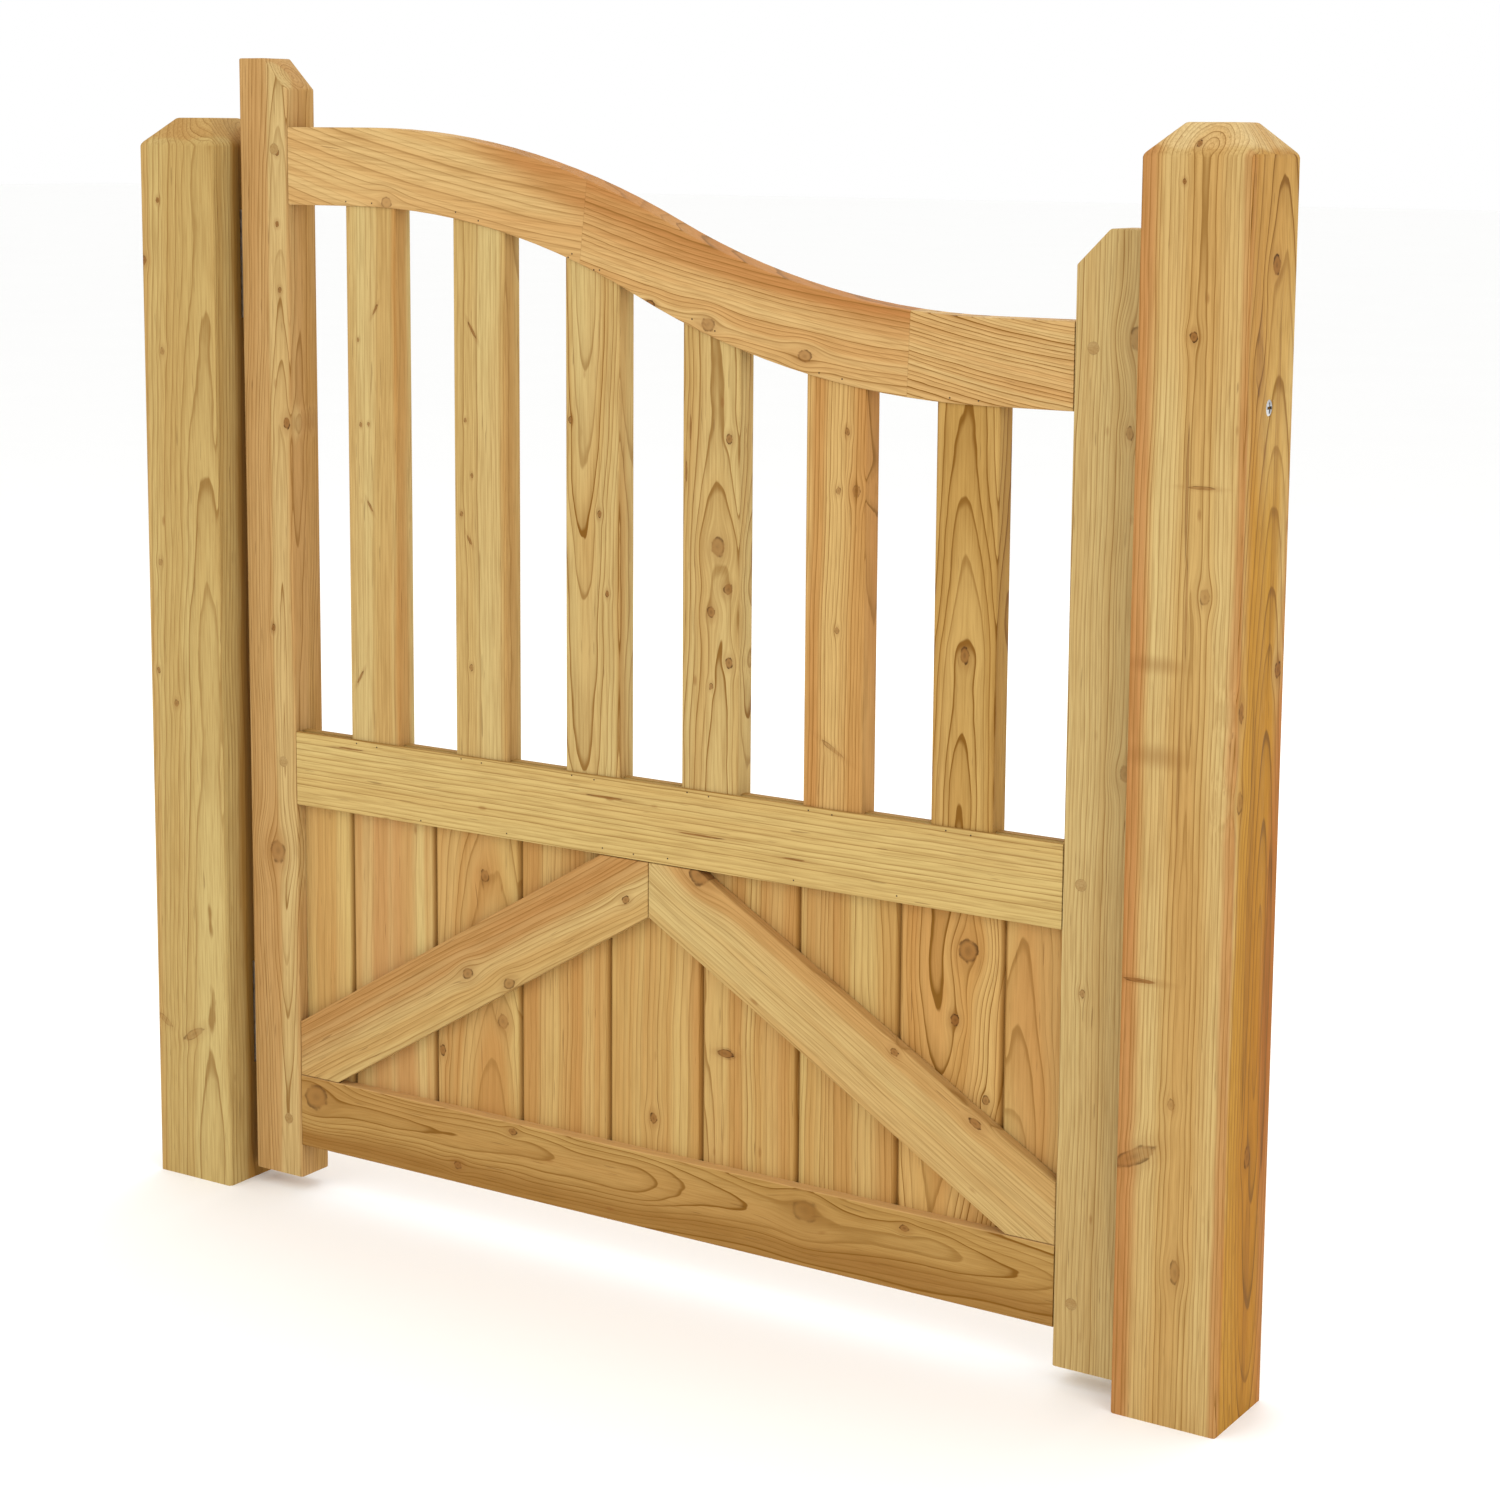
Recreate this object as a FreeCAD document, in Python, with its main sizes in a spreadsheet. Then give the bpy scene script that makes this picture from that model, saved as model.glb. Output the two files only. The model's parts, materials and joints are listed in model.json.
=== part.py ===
import FreeCAD, Part
import math
import os
import Sketcher

# Curved top garden gate: a pegged softwood leaf hung between two square posts.
# Millimetres, +Z up. X runs along the gate from the hinge post to the latch post, and -Y is
# the side with the rails and braces. The origin is on the ground, midway between the posts.

doc = FreeCAD.newDocument("curved_top_gate")
sheet = doc.addObject("Spreadsheet::Sheet", "size")

sizes = {
    # Posts: square, with a four-way chamfered top
    "post_width": 90,
    "post_height": 1016,
    "post_chamfer": 24,
    # Leaf: overall width, stile thickness and the gaps round it
    "leaf_width": 914,
    "leaf_thick": 38,
    "latch_gap": 8,
    "ground_gap": 15,
    # Stiles: face width, the horns above the curved rail and their cut corners
    "stile_width": 57,
    "hanging_horn": 62,
    "shutting_horn": 72,
    "horn_chamfer": 28,
    # Straight rails: depth, and height of the lower edge above the stiles' feet
    "bottom_rail_depth": 69,
    "bottom_rail_up": 32,
    "mid_rail_depth": 70,
    "mid_rail_up": 364,
    "weathering_back": 9,
    "weathering_fall": 4,
    # Curved rail: an ogee of two equal arcs between two level ends
    "top_rail_depth": 70,
    "top_rail_up": 778,
    "ogee_drop": 145,
    "ogee_flat": 80,
    # Pegged mortice and tenon joints
    "tenon_thick": 12,
    "tenon_length": 40,
    "tenon_shoulder": 10,
    "mortice_clear": 0.2,
    "shoulder_gap": 0.6,
    "peg_diameter": 10,
    "peg_clear": 0.1,
    "peg_inset": 16,
    "top_peg_rise": 15,
    "mid_peg_rise": 4,
    "bottom_peg_rise": -11,
    # Pales: bare-faced tongues stand in grooves in the mid rail and the curved rail
    "pale_count": 6,
    "pale_width": 57,
    "pale_thick": 22,
    "pale_setback": 3,
    "pale_tongue": 6,
    "pale_tongue_length": 8,
    "pale_clear": 0.3,
    # Matchboards: tongued, grooved and V-jointed, lapped behind the rails
    "board_width": 98,
    "least_end_board": 40,
    "board_thick": 14,
    "board_setback": 12,
    "board_lap": 20,
    "board_housing": 8,
    "board_tongue": 5,
    "board_tongue_length": 6,
    "board_vee": 3,
    "board_gap": 0.5,
    "board_clear": 0.3,
    # Braces: an inverted V under the mid rail
    "brace_width": 68,
    "brace_heel": 53,
    "brace_nose": 51,
    # Butt hinges in the gap beside the hinge post
    "hinge_height": 100,
    "lower_hinge_up": 100,
    "upper_hinge_drop": 6,
    "knuckles": 3,
    "knuckle_gap": 0.5,
    "flap_width": 28,
    "flap_thick": 2.5,
    "barrel_diameter": 10.4,
    "barrel_clear": 0.3,
    "barrel_behind": 0.8,
    "pin_diameter": 5.5,
    "pin_clear": 0.3,
    "pin_head": 8,
    "pin_head_thick": 2.5,
    # Round-head screws in the hinges, the bolt plate and the keep
    "screw_head": 8,
    "screw_head_thick": 2,
    "screw_shank": 4,
    "screw_length": 16,
    "screw_clear": 0.1,
    "flap_screw_edge": 14,
    # Square sliding bolt on the back of the shutting stile, with its keep on the latch post
    "bolt_width": 10,
    "bolt_clear": 0.4,
    "bolt_length": 76,
    "bolt_rest": 2,
    "bolt_reach": 12,
    "bolt_nose": 2,
    "bolt_hole_spare": 6,
    "bolt_plate_length": 53,
    "bolt_plate_height": 40,
    "bolt_plate_thick": 2,
    "bolt_plate_edge": 2,
    "plate_screw_spacing": 22,
    "plate_screw_edge": 6,
    "guide_length": 9,
    "guide_wall": 2.5,
    "knob_stem": 5,
    "knob_diameter": 10,
    "knob_rise": 3.5,
    "knob_thick": 5,
    "knob_crown": 1.5,
    "knob_play": 3.5,
    "keep_depth": 26,
    "keep_height": 46,
    "keep_thick": 2,
    "keep_clear": 1.5,
    # Large screw in the latch post's outer face
    "fixing_head": 14,
    "fixing_sink": 4,
    "fixing_shank": 6,
    "fixing_length": 70,
    "fixing_down": 189,
    "fixing_drive": 2.6,
    "fixing_drive_deep": 2.5,
}
for row, (name, value) in enumerate(sizes.items(), 1):
    sheet.set(f"A{row}", name)
    sheet.set(f"B{row}", str(value))
    sheet.setAlias(f"B{row}", name)
doc.recompute()

# Shared places, as expressions of the sheet's sizes
hinge_gap = "(size.barrel_diameter + 2 * size.barrel_clear)"
span = f"(2 * size.post_width + {hinge_gap} + size.leaf_width + size.latch_gap)"
hinge_face = f"(size.post_width - {span} / 2)"
leaf_left = f"({hinge_face} + {hinge_gap})"
leaf_right = f"({leaf_left} + size.leaf_width)"
latch_face = f"({leaf_right} + size.latch_gap)"
clear_left = f"({leaf_left} + size.stile_width)"
clear_right = f"({leaf_right} - size.stile_width)"
clear_width = "(size.leaf_width - 2 * size.stile_width)"
leaf_front = "(-size.leaf_thick / 2)"
leaf_back = "(size.leaf_thick / 2)"
rail_thick = "(size.board_setback + size.board_thick)"
foot = "size.ground_gap"
bottom_low = "(size.ground_gap + size.bottom_rail_up)"
bottom_top = f"({bottom_low} + size.bottom_rail_depth)"
mid_low = "(size.ground_gap + size.mid_rail_up)"
mid_top = f"({mid_low} + size.mid_rail_depth)"
low_end = "(size.ground_gap + size.top_rail_up)"
high_end = f"({low_end} + size.ogee_drop)"
hanging_top = f"({high_end} + size.top_rail_depth + size.hanging_horn)"
shutting_top = f"({low_end} + size.top_rail_depth + size.shutting_horn)"
post_shoulder = "(size.post_height - size.post_chamfer)"
board_front = f"({leaf_front} + size.board_setback)"
board_low = f"({bottom_top} - size.board_lap)"
board_length = f"({mid_low} + size.board_lap - {board_low})"

finished = []


def keep(piece, label):
    # A finished sub-part: its label names its file
    piece.Label = label
    finished.append(piece)


def place(piece, x, y, z):
    for axis, text in zip("xyz", (x, y, z)):
        piece.setExpression(f"Placement.Base.{axis}", text)
    return piece


def block(name, sides, corner):
    box = doc.addObject("Part::Box", name)
    for side, text in zip(("Length", "Width", "Height"), sides):
        box.setExpression(side, text)
    return place(box, *corner)


turns = {
    "+x": FreeCAD.Rotation(FreeCAD.Vector(0, 1, 0), 90),
    "-x": FreeCAD.Rotation(FreeCAD.Vector(0, 1, 0), -90),
    "+y": FreeCAD.Rotation(FreeCAD.Vector(1, 0, 0), -90),
    "-y": FreeCAD.Rotation(FreeCAD.Vector(1, 0, 0), 90),
    "+z": FreeCAD.Rotation(),
}


def moved(start, along, distance):
    sign, axis = along
    return tuple(f"({text} {sign} {distance})" if a == axis else text for a, text in zip("xyz", start))


def rod(name, diameter, length, start, along):
    cylinder = doc.addObject("Part::Cylinder", name)
    cylinder.Placement.Rotation = turns[along]
    cylinder.setExpression("Radius", f"({diameter}) / 2")
    cylinder.setExpression("Height", length)
    return place(cylinder, *start)


def taper(name, wide, narrow, length, start, along):
    cone = doc.addObject("Part::Cone", name)
    cone.Placement.Rotation = turns[along]
    cone.setExpression("Radius1", f"({wide}) / 2")
    cone.setExpression("Radius2", f"({narrow}) / 2")
    cone.setExpression("Height", length)
    return place(cone, *start)


def fuse(name, pieces):
    joined = doc.addObject("Part::MultiFuse", name)
    joined.Shapes = pieces
    return joined


def group(name, pieces):
    loose = doc.addObject("Part::Compound", name)
    loose.Links = pieces
    return loose


def cut(name, base, tools):
    result = doc.addObject("Part::Cut", name)
    result.Base = base
    result.Tool = tools[0] if len(tools) == 1 else group(f"{name}_tools", tools)
    return result


def shank(name, diameter, length, start, along):
    # The hidden length of a screw, six-sided, and the hole that takes it
    prism = doc.addObject("Part::Prism", name)
    prism.Polygon = 6
    prism.Placement.Rotation = turns[along]
    prism.setExpression("Circumradius", f"({diameter}) / 2")
    prism.setExpression("Height", length)
    return place(prism, *start)


def screws(name, starts, along):
    # A set of like screws with their heads on a plate, and their holes through the plate into the wood
    outward = {"+": "-", "-": "+"}[along[0]] + along[1]
    solids = []
    holes = []
    for i, start in enumerate(starts):
        above = moved(start, outward, "size.screw_head_thick")
        head = rod(f"{name}_{i}_head", "size.screw_head", "size.screw_head_thick", above, along)
        stem = shank(f"{name}_{i}_shank", "size.screw_shank", "size.screw_length", start, along)
        solids.append(fuse(f"{name}_{i}", [head, stem]))
        holes.append(shank(f"{name}_{i}_hole", "size.screw_shank + 2 * size.screw_clear",
                           "size.screw_length + size.screw_clear", start, along))
    return solids, holes


def new_sketch(body, plane):
    sketch = body.newObject("Sketcher::SketchObject", f"{body.Name}_sketch")
    origin_plane = next(p for p in body.Origin.OriginFeatures if p.Role == plane)
    sketch.AttachmentSupport = [(origin_plane, "")]
    sketch.MapMode = "FlatFace"
    return sketch


def dimension(sketch, edge, end, corner):
    # Dimensions one corner of an outline from the sketch's origin
    for kind, text in zip(("DistanceX", "DistanceY"), corner):
        index = sketch.addConstraint(Sketcher.Constraint(kind, -1, 1, edge, end, 1.0))
        label = f"{kind}_{edge}_{end}"
        sketch.renameConstraint(index, label)
        sketch.setExpression(f"Constraints.{label}", text)


def join(sketch, kind, edge, end, other, other_end):
    sketch.addConstraint(Sketcher.Constraint(kind, edge, end, other, other_end))


def polygon(sketch, corners):
    # A straight-sided outline, drawn roughly as a ring and then dimensioned
    count = len(corners)
    angles = [2 * math.pi * i / count for i in range(count)]
    ring = [FreeCAD.Vector(math.cos(a), math.sin(a), 0) for a in angles]
    for i in range(count):
        sketch.addGeometry(Part.LineSegment(ring[i], ring[(i + 1) % count]))
    for i in range(count):
        join(sketch, "Coincident", i, 2, (i + 1) % count, 1)
    for i, corner in enumerate(corners):
        dimension(sketch, i, 1, corner)


def pad(body, sketch, length, reverse):
    feature = body.newObject("PartDesign::Pad", f"{body.Name}_pad")
    feature.Profile = sketch
    feature.setExpression("Length", length)
    feature.Reversed = reverse
    return feature


def padded(name, plane, corners, length):
    # A straight length of one outline; an outline on the XZ plane is padded towards +Y
    body = doc.addObject("PartDesign::Body", name)
    sketch = new_sketch(body, plane)
    polygon(sketch, corners)
    pad(body, sketch, length, plane == "XZ_Plane")
    return body


# Butt hinges: a flap on the post, a flap on the hanging stile and a pin through their knuckles

axis_x = f"({hinge_face} + {hinge_gap} / 2)"
axis_y = f"({leaf_back} + size.barrel_behind + size.barrel_diameter / 2)"
flap_front = f"({leaf_back} - size.flap_width)"
knuckle_count = int(sheet.knuckles)
knuckle_pitch = "(size.hinge_height / size.knuckles)"
knuckle_height = f"({knuckle_pitch} - size.knuckle_gap)"
hinge_feet = {
    "lower": f"({foot} + size.lower_hinge_up)",
    "upper": f"(min({post_shoulder}; {high_end}) - size.upper_hinge_drop - size.hinge_height)",
}


def flap(name, left, low, first_knuckle, holes):
    # Plate, every second knuckle of the barrel with its neck, the bore and the screw holes
    parts = [block(f"{name}_plate", ("size.flap_thick", "size.flap_width", "size.hinge_height"),
                   (left, flap_front, low))]
    for i in range(first_knuckle, knuckle_count, 2):
        knuckle_low = f"({low} + {i} * {knuckle_pitch} + size.knuckle_gap / 2)"
        neck = ("size.flap_thick", f"{axis_y} - {leaf_back}", knuckle_height)
        parts.append(block(f"{name}_neck_{i}", neck, (left, leaf_back, knuckle_low)))
        parts.append(rod(f"{name}_knuckle_{i}", "size.barrel_diameter", knuckle_height,
                         (axis_x, axis_y, knuckle_low), "+z"))
    bore = rod(f"{name}_bore", "size.pin_diameter + 2 * size.pin_clear", "size.hinge_height",
               (axis_x, axis_y, low), "+z")
    return cut(name, fuse(f"{name}_blank", parts), [bore] + holes)


def flap_screw_starts(x, low):
    middle = f"({leaf_back} - size.flap_width / 2)"
    rises = ("size.flap_screw_edge", "size.hinge_height / 2", "(size.hinge_height - size.flap_screw_edge)")
    return [(x, middle, f"({low} + {rise})") for rise in rises]


post_flap_left = hinge_face
gate_flap_left = f"({leaf_left} - size.flap_thick)"
post_hinge_screws = []
post_hinge_holes = []
gate_hinge_screws = []
gate_hinge_holes = []
for which, low in hinge_feet.items():
    post_side = flap_screw_starts(f"({hinge_face} + size.flap_thick)", low)
    solids, holes = screws(f"{which}_post_screw", post_side, "-x")
    keep(flap(f"{which}_post_flap", post_flap_left, low, 0, holes), f"hinge_{which}_post_flap")
    post_hinge_screws += solids
    post_hinge_holes += holes
    solids, holes = screws(f"{which}_gate_screw", flap_screw_starts(gate_flap_left, low), "+x")
    keep(flap(f"{which}_gate_flap", gate_flap_left, low, 1, holes), f"hinge_{which}_gate_flap")
    gate_hinge_screws += solids
    gate_hinge_holes += holes
    head_low = f"({low} + size.hinge_height - size.knuckle_gap / 2)"
    pin_foot = (axis_x, axis_y, low)
    pin_neck = (axis_x, axis_y, head_low)
    pin_shaft = rod(f"{which}_pin_shaft", "size.pin_diameter", f"{head_low} - {low}", pin_foot, "+z")
    pin_head = rod(f"{which}_pin_head", "size.pin_head", "size.pin_head_thick", pin_neck, "+z")
    keep(fuse(f"{which}_pin", [pin_shaft, pin_head]), f"hinge_{which}_pin")
keep(group("post_hinge_screw_set", post_hinge_screws), "hinge_post_screws")
keep(group("gate_hinge_screw_set", gate_hinge_screws), "hinge_gate_screws")

# Sliding bolt: plate with two guides, the bolt with its knob, and the keep

bolt_z = f"({mid_low} + size.mid_rail_depth / 2)"
plate_face = f"({leaf_back} + size.bolt_plate_thick)"
guide_bore = "(size.bolt_width + 2 * size.bolt_clear)"
guide_reach = f"({guide_bore} / 2 + size.guide_wall)"
bolt_y = f"({plate_face} + {guide_reach})"
plate_right = f"({leaf_right} - size.bolt_plate_edge)"
plate_left = f"({plate_right} - size.bolt_plate_length)"
plate_low = f"({bolt_z} - size.bolt_plate_height / 2)"
bolt_tail = f"({leaf_right} - size.bolt_rest - size.bolt_length)"

plate_sides = ("size.bolt_plate_length", "size.bolt_plate_thick", "size.bolt_plate_height")
plate = block("bolt_plate_base", plate_sides, (plate_left, leaf_back, plate_low))
guides = [
    block(f"bolt_guide_{end}", ("size.guide_length", f"2 * {guide_reach}", f"2 * {guide_reach}"),
          (left, plate_face, f"{bolt_z} - {guide_reach}"))
    for end, left in (("tail", plate_left), ("nose", f"{plate_right} - size.guide_length"))
]
bolt_way = block("bolt_way", ("size.bolt_plate_length", guide_bore, guide_bore),
                 (plate_left, f"{bolt_y} - {guide_bore} / 2", f"{bolt_z} - {guide_bore} / 2"))
plate_middle = f"(({plate_left} + {plate_right}) / 2)"
plate_screw_starts = [
    (f"({plate_middle} {side} size.plate_screw_spacing / 2)", plate_face, z)
    for side in "-+"
    for z in (f"({plate_low} + size.plate_screw_edge)",
              f"({plate_low} + size.bolt_plate_height - size.plate_screw_edge)")
]
plate_screws, plate_holes = screws("plate_screw", plate_screw_starts, "-y")
plate_blank = fuse("bolt_plate_blank", [plate] + guides)
keep(cut("bolt_plate_cut", plate_blank, [bolt_way] + plate_holes), "bolt_plate")
keep(group("plate_screw_set", plate_screws), "bolt_plate_screws")

knob_x = f"({plate_left} + size.guide_length + size.knob_play + size.knob_stem / 2)"
bolt_half = "(size.bolt_width / 2)"
bolt_neck = "size.bolt_length - size.bolt_nose"
bolt_blank = padded(
    "bolt_blank", "XY_Plane",
    [("0", f"-{bolt_half}"), (bolt_neck, f"-{bolt_half}"),
     ("size.bolt_length", f"size.bolt_nose - {bolt_half}"),
     ("size.bolt_length", f"{bolt_half} - size.bolt_nose"), (bolt_neck, bolt_half), ("0", bolt_half)],
    "size.bolt_width",
)
place(bolt_blank, bolt_tail, bolt_y, f"{bolt_z} - {bolt_half}")
stem_start = (knob_x, bolt_y, bolt_z)
stem_hole = rod("knob_hole", "size.knob_stem + 2 * size.screw_clear", bolt_half, stem_start, "+y")
keep(cut("bolt_cut", bolt_blank, [stem_hole]), "bolt_bar")
knob_low = f"({bolt_y} + {bolt_half} + size.knob_rise)"
knob_shoulder = f"({knob_low} + size.knob_thick - size.knob_crown)"
knob = fuse("knob", [
    rod("knob_stem", "size.knob_stem", f"{bolt_half} + size.knob_rise", stem_start, "+y"),
    rod("knob_rim", "size.knob_diameter", "size.knob_thick - size.knob_crown",
        (knob_x, knob_low, bolt_z), "+y"),
    taper("knob_top", "size.knob_diameter", "size.knob_diameter - 2 * size.knob_crown", "size.knob_crown",
          (knob_x, knob_shoulder, bolt_z), "+y"),
])
keep(knob, "bolt_knob")

keep_x = f"({latch_face} - size.keep_thick)"
keep_low = f"({bolt_z} - size.keep_height / 2)"
keep_plate = block("keep_plate", ("size.keep_thick", "size.keep_depth", "size.keep_height"),
                   (keep_x, f"{bolt_y} - size.keep_depth / 2", keep_low))
keep_hole = "(size.bolt_width + 2 * size.keep_clear)"
keep_hole_deep = "(size.keep_thick + size.bolt_reach + size.bolt_hole_spare)"
bolt_mortice = block("bolt_mortice", (keep_hole_deep, keep_hole, keep_hole),
                     (keep_x, f"{bolt_y} - {keep_hole} / 2", f"{bolt_z} - {keep_hole} / 2"))
keep_screw_starts = [
    (keep_x, bolt_y, f"({keep_low} + size.plate_screw_edge)"),
    (keep_x, bolt_y, f"({keep_low} + size.keep_height - size.plate_screw_edge)"),
]
keep_screws, keep_holes = screws("keep_screw", keep_screw_starts, "+x")
keep(cut("keep_cut", keep_plate, [bolt_mortice] + keep_holes), "bolt_keep")
keep(group("keep_screw_set", keep_screws), "bolt_keep_screws")

# Posts, and the large screw in the latch post

fixing_start = (f"{span} / 2", "0", f"({post_shoulder} - size.fixing_down)")


def fixing_screw(name, clear):
    # The countersunk screw, or with a clearance the hole that it sits in
    narrow = f"size.fixing_shank + 2 * {clear}"
    wide = f"size.fixing_head + 2 * {clear}"
    head = taper(f"{name}_head", wide, narrow, "size.fixing_sink", fixing_start, "-x")
    stem = shank(f"{name}_shank", narrow, f"size.fixing_length + {clear}", fixing_start, "-x")
    return fuse(name, [head, stem])


drive = shank("fixing_drive", "2 * size.fixing_drive", "size.fixing_drive_deep", fixing_start, "-x")
keep(cut("fixing_cut", fixing_screw("fixing_blank", "0"), [drive]), "post_fixing_screw")
fixing_hole = fixing_screw("fixing_hole", "size.screw_clear")


def post(name, left, holes):
    side = "size.post_width"
    body = padded(f"{name}_blank", "XY_Plane", [("0", "0"), (side, "0"), (side, side), ("0", side)],
                  "size.post_height")
    place(body, left, f"-{side} / 2", "0")
    doc.recompute()
    top = [
        f"Edge{i}"
        for i, edge in enumerate(body.Shape.Edges, 1)
        if all(abs(v.Z - sheet.post_height) < 1e-6 for v in edge.Vertexes)
    ]
    shaft = body.Tip
    chamfer = body.newObject("PartDesign::Chamfer", f"{name}_chamfer")
    chamfer.Base = (shaft, top)
    chamfer.setExpression("Size", "size.post_chamfer")
    keep(cut(f"{name}_cut", body, holes), name)


post("hinge_post", f"-{span} / 2", post_hinge_holes)
post("latch_post", latch_face, [bolt_mortice, fixing_hole] + keep_holes)

# Rail ends: tenon, the mortice that takes it and the peg through both

tenon_front = f"({leaf_front} + ({rail_thick} - size.tenon_thick) / 2)"
rebate = "(size.board_lap + size.board_clear)"
shoulder = "size.tenon_shoulder"
# Each rail end: its low edge, depth, shoulders below and above the tenon, and the peg's rise from mid-depth
rail_ends = {
    "bottom": (bottom_low, "size.bottom_rail_depth", shoulder, rebate, "size.bottom_peg_rise"),
    "mid": (mid_low, "size.mid_rail_depth", rebate, shoulder, "size.mid_peg_rise"),
    "high": (high_end, "size.top_rail_depth", shoulder, shoulder, "size.top_peg_rise"),
    "low": (low_end, "size.top_rail_depth", shoulder, shoulder, "size.top_peg_rise"),
}
stile_ends = {"hanging": ("bottom", "mid", "high"), "shutting": ("bottom", "mid", "low")}


def tenon(name, side, end, clear):
    # A tenon on the hanging or the shutting side, or with a clearance its mortice
    low, depth, below, above, _ = rail_ends[end]
    length = f"(size.tenon_length + {clear} + size.shoulder_gap)"
    left = f"({clear_right} - size.shoulder_gap)"
    if side == "hanging":
        left = f"({clear_left} + size.shoulder_gap - {length})"
    sides = (length, f"size.tenon_thick + 2 * {clear}", f"{depth} - {below} - {above} + 2 * {clear}")
    return block(name, sides, (left, f"{tenon_front} - {clear}", f"{low} + {below} - {clear}"))


def peg(name, side, end, clear):
    low, depth, _, _, rise = rail_ends[end]
    x = f"({clear_left} - size.peg_inset)" if side == "hanging" else f"({clear_right} + size.peg_inset)"
    start = (x, leaf_front, f"({low} + {depth} / 2 + {rise})")
    return rod(name, f"size.peg_diameter + 2 * {clear}", "size.leaf_thick", start, "+y")


peg_holes = {
    (side, end): peg(f"{side}_{end}_peg_hole", side, end, "size.peg_clear")
    for side, ends in stile_ends.items()
    for end in ends
}
for side, ends in stile_ends.items():
    pegs = [peg(f"{side}_{end}_peg", side, end, "0") for end in ends]
    keep(group(f"{side}_peg_set", pegs), f"{side}_stile_pegs")

# Stiles: cut inner top corner, mortices, peg holes and a groove for the end board


def stile(side, left, corners, groove_left, holes):
    name = f"{side}_stile"
    body = place(padded(f"{name}_blank", "XZ_Plane", corners, "size.leaf_thick"), left, leaf_front, foot)
    mortices = [tenon(f"{side}_{end}_mortice", side, end, "size.mortice_clear") for end in stile_ends[side]]
    groove_sides = (
        "size.board_housing",
        "size.board_thick + 2 * size.board_clear",
        f"{board_length} + 2 * size.board_clear",
    )
    groove_corner = (groove_left, f"{board_front} - size.board_clear", f"{board_low} - size.board_clear")
    groove = block(f"{side}_board_groove", groove_sides, groove_corner)
    pegs = [peg_holes[side, end] for end in stile_ends[side]]
    keep(cut(f"{name}_cut", body, mortices + [groove] + pegs + holes), name)


wide = "size.stile_width"
corner = "size.horn_chamfer"
tall = f"({hanging_top} - {foot})"
short = f"({shutting_top} - {foot})"
stile("hanging", leaf_left,
      [("0", "0"), (wide, "0"), (wide, f"{tall} - {corner}"), (f"{wide} - {corner}", tall), ("0", tall)],
      f"{clear_left} - size.board_housing", gate_hinge_holes)
stile("shutting", clear_right,
      [("0", "0"), (wide, "0"), (wide, short), (corner, short), ("0", f"{short} - {corner}")],
      clear_right, plate_holes)

# Straight rails: the section with its rebate for the boards, and a tenon at each end

rail_length = f"({clear_width} - 2 * size.shoulder_gap)"
lip = "size.board_setback"


def straight_rail(end, section):
    name = f"{end}_rail"
    low = rail_ends[end][0]
    body = padded(f"{name}_section", "YZ_Plane", section, rail_length)
    place(body, f"{clear_left} + size.shoulder_gap", leaf_front, low)
    tenons = [tenon(f"{name}_{side}_tenon", side, end, "0") for side in stile_ends]
    blank = fuse(f"{name}_blank", [body] + tenons)
    keep(cut(f"{name}_cut", blank, [peg_holes[side, end] for side in stile_ends]), name)
    return body


deep = "size.bottom_rail_depth"
straight_rail("bottom",
              [("0", "0"), (rail_thick, "0"), (rail_thick, f"{deep} - {rebate}"),
               (lip, f"{deep} - {rebate}"), (lip, deep), ("0", deep)])

deep = "size.mid_rail_depth"
groove_front = "(size.pale_setback - size.pale_clear)"
groove_back = "(size.pale_setback + size.pale_tongue + size.pale_clear)"
groove_floor = f"({deep} - size.pale_tongue_length - size.pale_clear)"
mid_section = straight_rail(
    "mid",
    [("0", "0"), (lip, "0"), (lip, rebate), (rail_thick, rebate),
     (rail_thick, f"{deep} - size.weathering_fall"), (f"{rail_thick} - size.weathering_back", deep),
     (groove_back, deep), (groove_back, groove_floor), (groove_front, groove_floor), (groove_front, deep),
     ("0", deep)],
)

# Curved rail: parallel ogee edges, level at both ends

half_run = f"({clear_width} / 2 - size.ogee_flat)"
half_drop = "(size.ogee_drop / 2)"
ogee_square = f"({half_run} * {half_run} + {half_drop} * {half_drop})"
lean_across = f"(2 * {half_run} * {half_drop} / {ogee_square})"
lean_up = f"(({half_run} * {half_run} - {half_drop} * {half_drop}) / {ogee_square})"
ogee_right = f"({clear_width} - size.ogee_flat)"


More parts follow.
